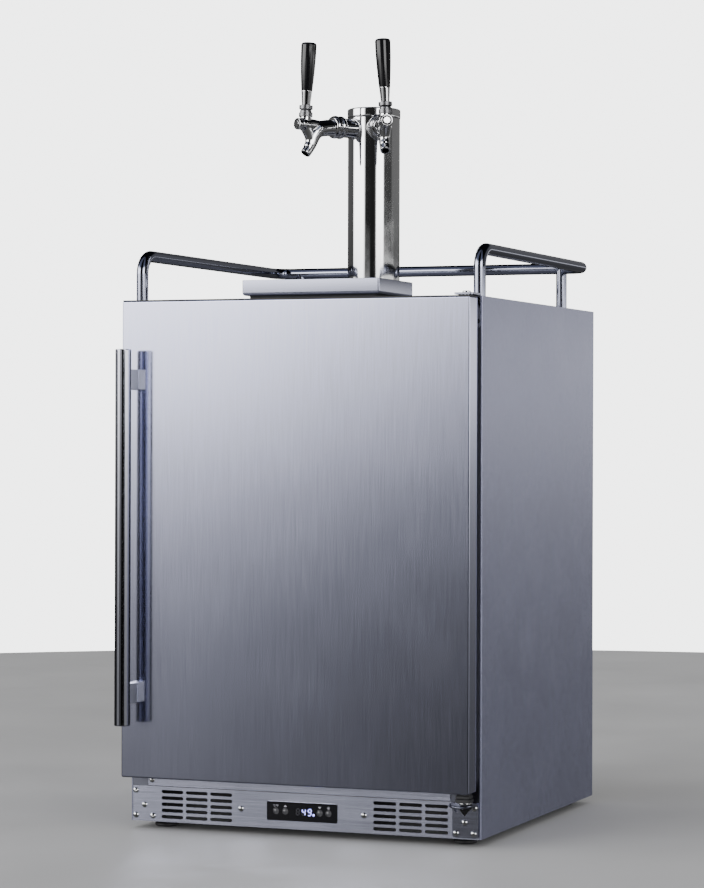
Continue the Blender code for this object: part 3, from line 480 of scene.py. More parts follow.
TRAY_STEEL = brushed("tray_steel", (0.012, 1.0, 1.0), (0.36, 0.37, 0.46), (0.12, 0.18), 0.008, 0.05)
BLACK_GLOSS = painted("black_gloss", (0.006, 0.006, 0.007), 0.10, 0.0, 30.0, 0.004, 0.0)
BLACK_PLASTIC = painted("black_plastic", (0.022, 0.022, 0.024), 0.42, 0.0, 2600.0, 0.03)
DARK_METAL = painted("dark_metal", (0.035, 0.035, 0.04), 0.40, 0.4, 900.0, 0.02)
RUBBER = painted("rubber", (0.030, 0.030, 0.033), 0.70, 0.0, 1800.0, 0.03)
LINER = painted("liner", (0.80, 0.81, 0.82), 0.38, 0.0, 500.0, 0.02)
FOAM = painted("foam", (0.78, 0.70, 0.45), 0.90, 0.0, 250.0, 0.5)
LENS = painted("display_lens", (0.006, 0.006, 0.008), 0.05, 0.0, 40.0, 0.002, 0.8)
BUTTON = painted("button", (0.075, 0.075, 0.082), 0.20, 0.0, 90.0, 0.003, 0.5)
FINS = brushed("fins", (1.0, 0.05, 1.0), (0.72, 0.73, 0.74), (0.32, 0.45))
BRASS = brushed("brass", (1.0, 1.0, 0.3), (0.72, 0.52, 0.24), (0.22, 0.34))
COPPER = brushed("copper", (1.0, 1.0, 0.2), (0.72, 0.40, 0.27), (0.22, 0.36))
CYLINDER = painted("cylinder_paint", (0.66, 0.66, 0.67), 0.34, 0.8, 500.0, 0.02)
SEGMENT_ON = glowing("segment_on", (0.35, 0.36, 1.0), 5.0)
SEGMENT_OFF = painted("segment_off", (0.045, 0.045, 0.055), 0.3, 0.0, 100.0, 0.001)
PRINT = painted("print", (0.45, 0.45, 0.50), 0.5, 0.0, 200.0, 0.001)
GAUGE_FACE = painted("gauge_face", (0.85, 0.85, 0.84), 0.5, 0.0, 300.0, 0.002)


def keep(node, finish, bevel=0.0):
    """Show a CAD node with a better material."""
    obj = frame["nodes"][node]
    obj.data.materials.clear()
    obj.data.materials.append(finish)
    if bevel:
        edge_bevel(obj, bevel)
    return obj


def flatten_shading():
    """Keep large faces flat beside their rounded edges."""
    for obj in bpy.context.scene.objects:
        if obj.type == "MESH" and obj.name != "floor":
            modifier = obj.modifiers.new("weights", "WEIGHTED_NORMAL")
            modifier.keep_sharp = True
            modifier.weight = 100


# ---- fasteners ----------------------------------------------------------------------------------
def cross_recess(bm, matrix, arm, width, depth_lo, depth_hi):
    quarter = [Vector(p) for p in ((arm, -width), (arm, width), (width, width))]
    plus = [(p.x * c - p.y * s, p.x * s + p.y * c) for c, s in ((1, 0), (0, 1), (-1, 0), (0, -1))
        for p in quarter]
    add_loft(bm, [[matrix @ Vector((x, y, z)) for x, y in plus] for z in (depth_lo, depth_hi)])


def screw(name, x, y, z, body, radius=4.6, height=2.4, turn=20.0, back=False, finish=None):
    """Domed cross-head screw that faces the front, or the back."""
    way = Matrix.Translation((x, y, z)) @ Matrix.Rotation(-math.pi / 2.0, 4, "X") if back else facing(x, y, z)
    matrix = way @ Matrix.Rotation(math.radians(turn), 4, "Z")
    profile = [(0, -2.0), (radius * 0.5, -2.0), (radius * 0.5, 0.0), (radius, 0.0)]
    for i in range(7):
        angle = math.radians(8.0 + 82.0 * i / 6.0)
        profile.append((radius * math.cos(angle), height * math.sin(angle)))
    profile[-1] = (0, height)
    head = turned(name, profile, body, finish or CHROME, matrix, 28, slot="chrome")
    recess = tool(cross_recess, matrix, radius * 0.5, radius * 0.13, height * 0.35, height + 1.0)
    return combine(head, "DIFFERENCE", recess)


# ---- door ---------------------------------------------------------------------------------------
def door():
    lo, hi = ends("door_skin")
    cap = 1.8
    bm = bmesh.new()
    add_block(bm, lo, (hi.x, hi.y + 8.0, hi.z - cap), 2.6, 5)
    gone = [f for f in bm.faces if f.calc_center_median().y > hi.y]
    bmesh.ops.delete(bm, geom=gone, context="FACES")
    for vert in bm.verts:
        vert.co.y = min(vert.co.y, hi.y)
    skin = piece("door_skin_brushed", bm, "door", STEEL_UPRIGHT, "door_skin", smooth=24.0)
    shell = skin.modifiers.new("sheet", "SOLIDIFY")
    shell.thickness = 1.0 * MM
    shell.offset = -1.0
    outline = round_rect(lo.x + 0.4, hi.x - 0.4, lo.y + 0.4, hi.y - 0.2, 2.6, 5)
    cover = extruded("door_top_cap", outline, "z", hi.z - cap - 1.2, hi.z - 0.5, "door", BLACK_PLASTIC)
    edge_bevel(cover, 0.4)
    door_inner_panel()
    gasket()
    handle()
    hinge_parts()


def door_inner_panel():
    lo, hi = ends("door_core")
    face = low("door_gasket").y - 0.4
    levels = [(0.0, face - 14.0), (0.0, face - 0.8), (0.8, face), (50.0, face), (52.0, face + 1.0),
        (55.0, hi.y - 1.5), (57.0, hi.y), (88.0, hi.y), (90.0, hi.y - 1.0), (95.0, face + 1.2),
        (97.0, face + 0.4), (260.0, face + 0.4)]
    lofted("door_inner_panel", pressed(lo.x, hi.x, lo.z, hi.z - 1.5, 26.0, levels, 8), "door", LINER,
        replaces="door_core", slot="door_core", smooth=40.0)


def gasket():
    """Bellows seal mitred round the door's back."""
    lo, hi = ends("door_gasket")
    depth, width = hi.y - lo.y, 22.0
    section = [(0.0, 0.0), (0.0, 2.2), (1.8, 3.0), (1.8, 4.2), (0.2, 5.0), (0.2, 6.4), (2.4, depth - 0.6),
        (5.0, depth), (width - 5.0, depth), (width - 2.4, depth - 0.6), (width - 0.2, 6.4),
        (width - 0.2, 5.0), (width - 1.8, 4.2), (width - 1.8, 3.0), (width, 2.2), (width, 0.0)]
    rings = []
    for sx, sz in ((0, 0), (1, 0), (1, 1), (0, 1)):
        ring = []
        for inset, rise in section:
            x = hi.x - inset if sx else lo.x + inset
            z = hi.z - inset if sz else lo.z + inset
            ring.append((x, lo.y + rise, z))
        rings.append(ring)
    bm = bmesh.new()
    add_loft(bm, rings, closed=True)
    seal = piece("door_seal", bm, "door", RUBBER, "door_gasket", smooth=50.0)
    edge_bevel(seal, 0.35, 2, 25.0)


def handle():
    lo, hi = ends("handle_bar")
    centre = middle("handle_bar")
    radius = (hi.x - lo.x) / 2.0
    profile = soften([(0, lo.z), (radius, lo.z), (radius, hi.z), (0, hi.z)], 1.6, 5)
    turned("handle_tube", profile, "door", STEEL_TUBE, upright(centre.x, centre.y), 96,
        replaces="handle_bar")
    for which in ("lower", "upper"):
        node = "handle_post_" + which
        a, b = ends(node)
        block("handle_standoff_" + which, (a.x, a.y + 2.0, a.z), (b.x, b.y + 0.3, b.z), "door", STEEL_POST,
            0.9, 4, replaces=node)
        turned("handle_set_screw_" + which,
            soften([(0, -1.0), (2.4, -1.0), (2.4, 0.2), (1.3, 0.2), (1.3, -0.6), (0, -0.6)], 0.1, 2),
            "door", DARK_METAL,
            upright(middle(node).x, middle(node).y, a.z) @ Matrix.Rotation(math.pi, 4, "X"), 6)


def around_pin(left, right, deep):
    """Rounded rectangle round the door's pin, as reaches from the pin."""
    return round_rect(HINGE.x - left, HINGE.x + right, HINGE.y - deep, HINGE.y + deep, 3.0, 5)


def hinge_parts():
    base = low("hinge_cam_door").z
    rings = []
    for grow, z in ((-1.0, base), (0.0, base + 0.8), (0.0, 82.0), (-1.4, 83.4), (-1.4, 85.8)):
        rings.append([(x, y, z) for x, y in around_pin(13.0 + grow, 10.0 + grow, 10.0 + grow)])
    cam = lofted("door_cam", rings, "door", BLACK_PLASTIC, replaces="hinge_cam_door")
    pin_hole = [(0, 70.0), (4.3, 70.0), (4.3, 95.0), (0, 95.0)]
    combine(cam, "DIFFERENCE", tool(add_turned, pin_hole, upright(HINGE.x, HINGE.y), 40))
    bush = low("upper_hinge_bush").z
    turned("door_bush", soften([(4.3, bush), (7.0, bush), (7.0, TOP - 1.9), (8.6, TOP - 1.6),
        (8.6, TOP - 0.2), (4.3, TOP - 0.2)], 0.3, 2), "door", BLACK_PLASTIC, upright(HINGE.x, HINGE.y), 40,
        replaces="upper_hinge_bush")


# ---- cabinet brackets ---------------------------------------------------------------------------
def upper_bracket():
    lo, hi = ends("upper_hinge_bracket")
    leaf = TOP + 1.0
    bracket = extruded("upper_hinge_leaf", round_rect(lo.x, hi.x, lo.y, hi.y - 0.2, 4.0, 6), "z", leaf,
        leaf + 3.0, "cabinet", HINGE_STEEL, replaces="upper_hinge_bracket")
    leg = round_rect(hi.x - 12.5, hi.x, lo.z, leaf + 2.0, 3.0, 5)
    combine(bracket, "UNION", tool(prism, leg, "y", hi.y - 1.5, hi.y))
    edge_bevel(bracket, 0.5, 3)
    turned("upper_hinge_rivet",
        soften([(0, leaf - 14.0), (3.9, leaf - 14.0), (3.9, leaf + 2.9), (6.5, leaf + 2.9),
            (6.5, hi.z - 0.8), (5.0, hi.z), (0, hi.z)], 0.5, 4),
        "cabinet", CHROME, upright(HINGE.x, HINGE.y), 40)
    for i, z in enumerate((TOP - 8.0, TOP - 39.0)):
        screw("upper_hinge_screw_%d" % (i + 1), hi.x - 4.6, hi.y - 1.5, z, "cabinet", 3.9, 0.3,
            30.0 + 25.0 * i, finish=BLACK_GLOSS)


def lower_bracket():
    """Angle plate: a screwed leg with two openings and a bent leaf that carries the pin."""
    lo, hi = ends("lower_hinge_bracket")
    leaf = 68.0
    plate = extruded("lower_hinge_leg", round_rect(lo.x, hi.x, lo.z, leaf - 0.4, 5.5, 6), "y", hi.y - 2.4,
        hi.y, "cabinet", HINGE_STEEL, replaces="lower_hinge_bracket")
    cx = HINGE.x - WEDGE_OFF
    wedge = [(cx - 12.0, leaf - 6.4), (cx, leaf - 20.5), (cx + 12.0, leaf - 6.4)]
    hook = [(lo.x + 4.0, leaf - 4.6), (lo.x + 6.0, leaf - 4.6), (lo.x + 6.0, leaf - 11.0),
        (lo.x + 8.4, leaf - 13.6), (lo.x + 7.2, leaf - 15.2), (lo.x + 4.0, leaf - 12.2)]
    combine(plate, "DIFFERENCE", *[tool(prism, hole, "y", hi.y - 6.0, hi.y + 3.0) for hole in (wedge, hook)])
    edge_bevel(plate, 0.4, 2)
    rings = []
    for x, drop, front in ((lo.x + 1.0, 1.2, -22.0), (lo.x + 8.0, 2.6, -31.0), (lo.x + 18.0, 3.4, -34.0),
            (HINGE.x, 3.2, -35.0), (hi.x - 6.0, 1.6, -33.0), (hi.x - 0.6, 0.2, -26.0)):
        top = leaf - drop + 1.8
        rings.append([(x, hi.y - 0.4, top), (x, front + 3.0, top), (x, front, top - 0.8),
            (x, front, top - 3.4), (x, front + 1.5, top - 4.2), (x, hi.y - 0.4, top - 4.2)])
    edge_bevel(lofted("lower_hinge_shelf", rings, "cabinet", HINGE_STEEL, smooth=60.0), 0.6, 3, 50.0)
    riser = around_pin(14.0, 10.5, 11.0)
    edge_bevel(extruded("lower_hinge_riser", riser, "z", leaf + 3.4, 77.0, "cabinet", BLACK_PLASTIC), 0.5)
    pin = [(0, leaf - 5.0), (6.4, leaf - 5.0), (6.4, leaf - 1.2), (9.4, leaf - 0.6), (10.0, leaf + 2.0),
        (9.0, leaf + 4.0), (4.0, leaf + 5.0), (4.0, 84.0), (0, 84.0)]
    turned("lower_hinge_cam", soften(pin, 0.7, 4), "cabinet", DARK_METAL, upright(HINGE.x, HINGE.y), 48)
    turned("lower_hinge_washer",
        soften([(9.2, leaf + 1.8), (11.6, leaf + 1.8), (11.6, leaf + 3.4), (9.2, leaf + 3.4)], 0.5, 3),
        "cabinet", CHROME, upright(HINGE.x, HINGE.y), 48)
    spots = ((hi.x - 6.7, 60.5), (hi.x - 22.7, 38.0), (hi.x - 36.7, 21.0), (hi.x - 7.7, 21.0))
    for i, (x, z) in enumerate(spots):
        screw("lower_hinge_screw_%d" % (i + 1), x, hi.y - 2.4, z, "cabinet", 4.9, 2.8, 17.0 * i)


# ---- front plate and controls -------------------------------------------------------------------
def kick_plate():
    lo, hi = ends("kick_plate")
    plate = block("front_grille", lo, hi, "cabinet", KICK_STEEL, 0.0, replaces="kick_plate")
    length, tall = 38.4, 5.5

    def slots(m):
        for side in (-1, 1):
            for x in (140.3, 183.4, 226.5):
                for z in (20.2, 30.3, 40.3, 50.4, 60.4):
                    outline = round_rect(side * x - length / 2, side * x + length / 2, z - tall / 2,
                        z + tall / 2, tall / 2 - 0.02, 7)
                    prism(m, outline, "y", -3.0, 5.0)

    combine(plate, "DIFFERENCE", tool(slots))
    behind = HINGE.x - WEDGE_OFF
    combine(plate, "DIFFERENCE", tool(add_block, (-57, -3, 28), (57, 5, 52)),
        tool(add_block, (behind - 13.0, -3, 47.0), (behind + 13.0, 5, 62.6)))
    # Dark sheet behind the grille slots and openings: painted shade that stands in for the dark space behind
    # the grille.
    block("grille_shade_sheet", (lo.x + 4, 40.0, 17.0), (hi.x - 4, 41.0, 70.0), "cabinet", RUBBER, 0.0)
    keep("lower_rail", KICK_STEEL, 0.3)
    for i, (x, z) in enumerate(((-291.6, 60.7), (-276.0, 38.0), (-291.4, 21.0), (-261.0, 21.0),
            (-105.5, 40.0), (105.5, 40.0))):
        screw("grille_screw_%d" % (i + 1), x, lo.y, z, "cabinet", 4.9, 2.8, 31.0 * i)
    screw("rail_screw", -262.0, low("lower_rail").y, 78.6, "cabinet", 4.6, 2.2, 10.0)


def seven_segments(origin, width, height, lit, y, name):
    """One digit made of seven bars that lean slightly to the right."""
    half_t, gap, lean = 0.625, 0.55, 0.10
    half = height / 2.0
    bars = {"a": (0, height, width, "h"), "g": (0, half, width, "h"), "d": (0, 0, width, "h"),
        "f": (0, half, half, "v"), "b": (width, half, half, "v"), "e": (0, 0, half, "v"),
        "c": (width, 0, half, "v")}
    for key, (x, z, length, way) in bars.items():
        points = [(gap, 0), (gap + half_t, half_t), (length - gap - half_t, half_t), (length - gap, 0),
            (length - gap - half_t, -half_t), (gap + half_t, -half_t)]
        if way == "v":
            points = [(across, along) for along, across in points]
        outline = [(origin[0] + x + px + (z + pz) * lean, origin[1] + z + pz) for px, pz in points]
        extruded("%s_%s" % (name, key), outline, "y", y - 0.05, y + 0.2, "cabinet",
            SEGMENT_ON if key in lit else SEGMENT_OFF)


def control_panel():
    lo, hi = ends("display_lens")
    centre_z = (lo.z + hi.z) / 2.0
    levels = [(0.0, hi.y), (0.0, lo.y + 0.5), (0.5, lo.y), (1.3, lo.y), (1.5, lo.y + 0.3)]
    lens = lofted("control_lens", pressed(lo.x, hi.x, lo.z, hi.z, 2.2, levels, 5), "cabinet", LENS,
        replaces="display_lens")
    buttons = ("unit_button", "up_button", "down_button", "lamp_button")
    xs = [middle(node).x for node in buttons]
    well = [(0, -3.0), (4.55, -3.0), (4.55, 6.0), (0, 6.0)]
    combine(lens, "DIFFERENCE", *[tool(add_turned, well, facing(x, 0, centre_z), 32) for x in xs])
    face = lo.y + 0.3
    for node, x in zip(buttons, xs):
        profile = [(0, -8.0), (3.9, -8.0), (4.15, 1.2), (3.9, 1.9), (3.2, 2.6), (2.0, 3.1), (0.9, 3.35),
            (0, 3.4)]
        turned(node + "_cap", soften(profile, 0.4, 3), node, BUTTON, facing(x, 0, centre_z), 40,
            replaces=node)
        turned("well_ring_" + node, soften([(4.5, 1.7), (5.2, 1.7), (5.2, 1.95), (4.5, 1.95)], 0.1, 2),
            "cabinet", BUTTON, facing(x, 0, centre_z), 40)
    digit_h, digit_w = 9.6, 5.2
    base = centre_z - digit_h / 2.0
    for name, x, lit in (("digit_1", -9.5, ""), ("digit_2", 0.6, "bcfg"), ("digit_3", 10.7, "abcdfg")):
        seven_segments((x, base), digit_w, digit_h, lit, face, name)
    turned("lamp_dot", [(0, -face - 0.2), (1.7, -face - 0.2), (1.7, -face + 0.06), (0, -face + 0.06)],
        "cabinet", SEGMENT_ON, facing(20.6, 0, base + 1.0), 24)
    labels(xs, centre_z + 8.2, face)


def labels(xs, z, face):
    """Small generic marks over the buttons: units, up, down and lamp."""
    def mark(name, outline):
        extruded(name, outline, "y", face - 0.05, face + 0.1, "cabinet", PRINT)

    mark("mark_up", [(xs[1] - 2.8, z - 1.4), (xs[1] + 2.8, z - 1.4), (xs[1], z + 1.6)])
    mark("mark_down", [(xs[2] - 2.8, z + 1.4), (xs[2] + 2.8, z + 1.4), (xs[2], z - 1.6)])
    x = xs[3]
    for i in range(8):
        angle = math.pi * i / 4.0
        out = Vector((math.cos(angle), math.sin(angle)))
        across = Vector((-out.y, out.x)) * 0.22
        a, b = out * 1.7, out * 2.6
        mark("mark_lamp_ray_%d" % i,
            [(x + p.x, z + p.y) for p in (a - across, b - across, b + across, a + across)])
    mark("mark_lamp", [(x + 1.1 * math.cos(t), z + 1.1 * math.sin(t))
        for t in (2 * math.pi * k / 16 for k in range(16))])
    x = xs[0]
    for i, dx in enumerate((-4.4, 1.2)):
        ring = [(0.35, -face - 0.1), (0.65, -face - 0.1), (0.65, -face + 0.05), (0.35, -face + 0.05)]
        turned("mark_degree_%d" % i, ring, "cabinet", PRINT, facing(x + dx, 0, z + 1.2), 12)
    arc = [(x - 2.2 + 1.3 * math.cos(t), z + 1.5 * math.sin(t))
        for t in (math.radians(45 + 270.0 * k / 12) for k in range(13))]
    inner = [(x - 2.2 + 0.85 * math.cos(t), z + 1.05 * math.sin(t))
        for t in (math.radians(315 - 270.0 * k / 12) for k in range(13))]
    mark("mark_c", arc + inner)
    mark("mark_slash", [(x - 0.7, z - 1.6), (x - 0.3, z - 1.6), (x + 0.7, z + 1.6), (x + 0.3, z + 1.6)])
    mark("mark_f", [(x + 2.4, z - 1.5), (x + 2.9, z - 1.5), (x + 2.9, z - 0.2), (x + 4.1, z - 0.2),
        (x + 4.1, z + 0.3), (x + 2.9, z + 0.3), (x + 2.9, z + 1.0), (x + 4.3, z + 1.0), (x + 4.3, z + 1.5),
        (x + 2.4, z + 1.5)])


# ---- rail and tray ------------------------------------------------------------------------------
def rail():
    lo, hi = ends("gallery_rail")
    r = 9.5
    x, front, back, level, foot = hi.x - r, lo.y + r, hi.y - r, hi.z - r, lo.z
    corners = [(-x, front, foot), (-x, front, level), (-x, back, level), (x, back, level),
        (x, front, level), (x, front, foot)]
    tube("guard_rail", rounded_path(corners, 30.0, 16), r, "cabinet", STEEL_RAIL, 48, replaces="gallery_rail")
    post_r = r - 0.2
    for i, post_x in enumerate((-246.0, 246.0)):
        turned("rail_post_%d" % (i + 1), [(0, foot), (post_r, foot), (post_r, level), (0, level)],
            "cabinet", STEEL_RAIL, upright(post_x, back), 40)


def tray():
    lo, hi = ends("drip_tray")
    floor = lo.z + 7.3
    t = 1.4

    def ring(inset, z, radius):
        return [(x, y, z) for x, y in round_rect(lo.x + inset, hi.x - inset, lo.y + inset, hi.y - inset,
            radius, 6)]

    pan = ((6.0, floor), (3.2, floor + 0.2), (1.2, floor + 1.1), (0.3, floor + 2.8), (0.0, floor + 5.0),
        (0.0, hi.z - 0.8), (0.3, hi.z - 0.2), (0.8, hi.z), (t, hi.z - 0.3), (t + 0.2, hi.z - 4.6),
        (4.6, hi.z - 4.9), (4.8, hi.z - 5.4), (5.2, floor + 6.0), (7.0, floor + 2.4), (10.0, floor + t))
    lofted("tray_pan", [ring(inset, z, max(3.2 - inset * 0.3, 1.2)) for inset, z in pan], "tray",
        TRAY_STEEL, replaces="drip_tray", smooth=40.0)
    skirt = ((14.0, lo.z + 1.0), (13.0, lo.z), (10.0, lo.z), (9.2, lo.z + 0.8), (8.4, floor + 0.6))
    lofted("tray_skirt", [ring(inset, z, 4.0) for inset, z in skirt], "tray", RUBBER, smooth=50.0)
    grid()


def grid():
    lo, hi = ends("drip_grid")
    plate = extruded("tray_grid", round_rect(lo.x, hi.x, lo.y, hi.y, 2.4, 5), "z", lo.z, hi.z, "grid",
        TRAY_STEEL, replaces="drip_grid")

    def slots(m):
        for column in range(3):
            for row in range(9):
                x = (column - 1) * 74.0
                y = lo.y + 21.3 + row * 12.0
                prism(m, round_rect(x - 32.0, x + 32.0, y - 2.0, y + 2.0, 1.95, 4), "z", lo.z - 3, hi.z + 3)

    combine(plate, "DIFFERENCE", tool(slots))


# ---- tower and taps -----------------------------------------------------------------------------
def tower():
    at = upright(TOWER.x, TOWER.y)
    foot, seam, top = low("tower_flange").z, high("tower_column").z, high("tower_cap").z
    inner = TOWER_R - 1.4
    flange_r = (high("tower_flange").x - low("tower_flange").x) / 2.0
    flange = [(inner - 3.0, foot), (flange_r, foot), (flange_r, foot + 4.6), (flange_r - 3.4, foot + 9.6),
        (TOWER_R + 0.3, foot + 10.0), (TOWER_R + 0.3, foot + 3.0), (inner - 3.0, foot + 3.0)]
    turned("tower_foot", soften(flange, 1.4, 5), "cabinet", CHROME, at, 128, replaces="tower_flange")
    turned("tower_tube", soften([(inner, foot + 3.3), (TOWER_R, foot + 3.3), (TOWER_R, seam - 0.3),
        (inner, seam - 0.3)], 0.3, 3), "cabinet", CHROME, at, 128, replaces="tower_column")
    r = TOWER_R + 0.8
    cap = [(0, top - 3.0), (inner - 3.0, top - 3.0), (inner - 3.0, seam - 8.0), (inner - 0.4, seam - 8.0),
        (inner - 0.4, seam + 0.4), (r, seam + 0.4), (r, top), (0, top)]
    turned("tower_lid", soften(cap, 3.4, 7), "cabinet", CHROME, at, 128, replaces="tower_cap")


def tap_matrix(side):
    """Local frame of a tap: z runs out of the tower, x points up."""
    angle = math.radians(TAP_ANGLE)
    out = Vector((side * math.sin(angle), -math.cos(angle), 0.0))
    up = Vector((0.0, 0.0, 1.0))
    across = out.cross(up)
    matrix = Matrix.Identity(4)
    for row in range(3):
        matrix[row][0], matrix[row][1], matrix[row][2] = up[row], across[row], out[row]
    matrix.translation = Vector((TOWER.x, TOWER.y, TAP_Z))
    return matrix


def tap_casting():
    """Barrel that bends down into the spout, with a nose and a lever boss, in the tap's frame."""
    path = [(-1.6, 70.0, 12.0), (-2.0, 90.0, 13.6), (-2.4, 98.0, 13.6), (-4.0, 107.0, 13.4),
        (-7.0, 115.5, 12.8), (-12.5, 121.5, 11.9), (-19.0, 125.5, 11.0), (-26.0, 128.0, 10.0),
        (-33.0, 131.0, 9.2), (-41.0, 136.5, 8.7), (-48.0, 142.0, 8.6)]
    web = [(-1.0, 142.5, 9.6), (-7.0, 139.0, 9.5), (-13.0, 135.5, 9.1), (-19.0, 132.5, 8.8),
        (-25.0, 131.2, 8.5), (-31.0, 132.3, 8.4), (-37.0, 135.4, 8.5)]
    curve = [Vector((up, 0, b)) for up, b, _ in path]
    body = tube("tap_casting", curve, [r for _, _, r in path], None, None, 32)
    fillet = tool(add_sweep, [(up, 0, b) for up, b, _ in web], [r for _, _, r in web], 32)
    nose = [(0, 112.0), (8.6, 112.0), (9.6, 124.0), (10.8, 136.0), (10.6, 146.0), (9.2, 152.0), (0, 152.0)]
    lift = Matrix.Translation((0, 0, LEVER_B)) @ Matrix.Rotation(math.pi / 2.0, 4, "Y")
    boss = [(0, 0), (9.4, 0), (9.4, PIVOT_H - 6.0), (0, PIVOT_H - 6.0)]
    combine(body, "UNION", fillet, tool(add_turned, nose, None, 40), tool(add_turned, boss, lift, 40))
    mesher = body.modifiers.new("voxels", "REMESH")
    mesher.mode = "VOXEL"
    mesher.voxel_size = 0.6 * MM
    relax = body.modifiers.new("relax", "SMOOTH")
    relax.factor = 0.5
    relax.iterations = 30
    settle(body)
    tail = curve[-1] + (curve[-1] - curve[-2]).normalized() * 6.0
    well = tool(add_turned, [(0, 8.0), (8.8, 8.0), (8.8, 40.0), (0, 40.0)], lift, 32)
    combine(body, "DIFFERENCE", tool(add_sweep, curve[6:] + [tail], 5.9, 24), well)
    body.data.set_sharp_from_angle(angle=math.radians(50.0))
    return body


def tap_body(tag, casting, matrix):
    """Place one copy of the casting; matrix is in millimetres."""
    body = bpy.data.objects.new("tap_body_" + tag, casting.data.copy())
    bpy.context.scene.collection.objects.link(body)
    body.data.materials.append(CHROME)
    shift = Matrix.Translation((0.0, FRONT, 0.0)) @ Matrix.Scale(MM, 4)
    body.data.transform(shift @ matrix @ shift.inverted())
    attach(body, "cabinet")
    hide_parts("faucet_body_" + tag)


def tap(tag, side, casting):
    matrix = tap_matrix(side)
    tap_body(tag, casting, matrix)
    sleeve = turned("tap_sleeve_" + tag,
        soften([(4.2, 36.0), (16.0, 36.0), (16.0, 66.0), (4.2, 66.0)], 0.8, 4), "cabinet", CHROME,
        matrix, 64, replaces="shank_" + tag)
    column = [(0, -60.0), (TOWER_R + 0.15, -60.0), (TOWER_R + 0.15, 60.0), (0, 60.0)]
    combine(sleeve, "DIFFERENCE", tool(add_turned, column, upright(TOWER.x, TOWER.y, TAP_Z), 128))
    ring = []
    for i in range(48):
        turn = 2.0 * math.pi * i / 48.0
        across = 16.6 * math.sin(turn)
        ring.append(matrix @ Vector((16.6 * math.cos(turn), across,
            math.sqrt(TOWER_R ** 2 - across ** 2) + 0.6)))
    bm = bmesh.new()
    add_sweep(bm, ring, 1.5, 16, closed=True)
    piece("tap_saddle_" + tag, bm, "cabinet", CHROME)
    nut = [(11.2, 66.4), (15.8, 66.4), (17.6, 67.4), (18.8, 69.6), (19.0, 72.0), (18.4, 74.4), (17.5, 75.8),
        (17.3, 77.0), (17.8, 78.0), (18.8, 79.6), (19.0, 82.0), (18.6, 84.4), (17.0, 87.0), (15.6, 88.0),
        (11.2, 88.0)]
    turned("tap_nut_" + tag, soften(nut, 0.8, 3), "cabinet", CHROME, matrix, 72,
        replaces="coupling_nut_" + tag)
    bolt = [(0, 150.0), (9.3, 150.0), (9.5, 154.6), (9.5, 158.2), (9.2, 158.8), (8.0, 158.9), (7.9, 155.0),
        (5.7, 155.0), (5.6, 159.3), (5.3, 159.7), (0, 159.8)]
    turned("tap_bolt_seal_" + tag, [(5.9, 154.9), (7.7, 154.9), (7.7, 158.0), (5.9, 158.0)], "cabinet",
        RUBBER, matrix, 48)
    turned("tap_front_bolt_" + tag, soften(bolt, 0.3, 3), "cabinet", CHROME, matrix, 56)
    pivot = matrix @ Vector((PIVOT_H, 0, LEVER_B))

    def arc(radius, start, end, count):
        angles = [math.radians(start + (end - start) * i / (count - 1.0)) for i in range(count)]
        return [(radius * math.sin(a), radius * math.cos(a)) for a in angles]

    bonnet = [(8.9, -7.6), (10.9, -7.6), (11.2, -7.0), (11.2, -1.1), (10.9, -0.6), (9.6, -0.6)]
    bonnet += arc(9.6, 92.0, 52.0, 8)
    bonnet += [(7.0, 5.2), (8.4, 2.0), (8.9, -1.0)]
    turned("tap_bonnet_" + tag, soften(bonnet, 0.25, 3), "cabinet", COLLAR, upright(*pivot), 64)
    leaning = upright(*pivot) @ Matrix.Rotation(math.radians(-side * LEAN), 4, "Y")
    shaft = [(0, 84.0), (4.4, 84.0), (4.4, 89.0), (2.2, 90.0), (2.2, 139.2), (0, 139.2)]
    turned("tap_shaft_" + tag, soften(shaft, 0.3, 2), "valve_" + tag, BRASS, matrix, 32,
        replaces="valve_shaft_" + tag)
    lever_body = "tap_lever_" + tag
    ball = [(0, -20.4), (1.2, -20.4), (1.3, -15.5), (1.9, -12.0), (1.9, -7.6)] + arc(6.6, 163.0, 30.0, 12)
    ball += [(3.3, 9.0), (0, 9.0)]
    turned("lever_ball_" + tag, soften(ball, 0.3, 2), lever_body, CHROME, leaning, 48)
    collar = [(3.1, 8.8)] + arc(10.1, 30.0, 60.0, 5) + [(10.7, 4.7), (11.1, 5.1), (11.1, 10.8),
        (10.8, 11.2), (3.1, 11.2)]
    turned("lever_collar_" + tag, soften(collar, 0.25, 3), lever_body, COLLAR, leaning, 64,
        replaces="lever_" + tag)
    ferrule = [(0, 11.0), (6.9, 11.0), (7.0, 12.0), (8.8, 33.6), (8.9, 34.9), (0, 34.9)]
    turned("lever_ferrule_" + tag, soften(ferrule, 0.4, 3), lever_body, CHROME, leaning, 64)
    h0, h1 = 35.2, high("tap_handle_" + tag).z - pivot.z - 0.3
    rise = h1 - h0
    grip = [(0, h0), (9.1, h0)]
    for i in range(13):
        t = i / 12.0
        grip.append((9.15 + 3.5 * math.sin(t * math.pi / 2.0) ** 0.95, h0 + (rise - 6.5) * t))
    grip += [(12.75, h1 - 4.4), (12.1, h1 - 2.2), (10.8, h1 - 0.8), (8.6, h1 - 0.15), (0, h1)]
    turned("tap_grip_" + tag, soften(grip, 0.4, 2), lever_body, BLACK_GLOSS, leaning, 72,
        replaces="tap_handle_" + tag)


# ---- back and inside ----------------------------------------------------------------------------
def rest_of_cabinet():
    side_sheet("left", -1)
    side_sheet("right", 1)
    keep("top_panel", TOP_GREY, 0.3)
    keep("front_frame", FRAME_STEEL, 0.2)
    keep("base_pan", GALVANISED, 0.3)
    keep("insulation_foam", FOAM)
    keep("inner_liner", LINER, 2.0)
    keep("control_housing", BLACK_PLASTIC, 0.4)
    rear()
    machine_bay()
    cooler()
    gas()


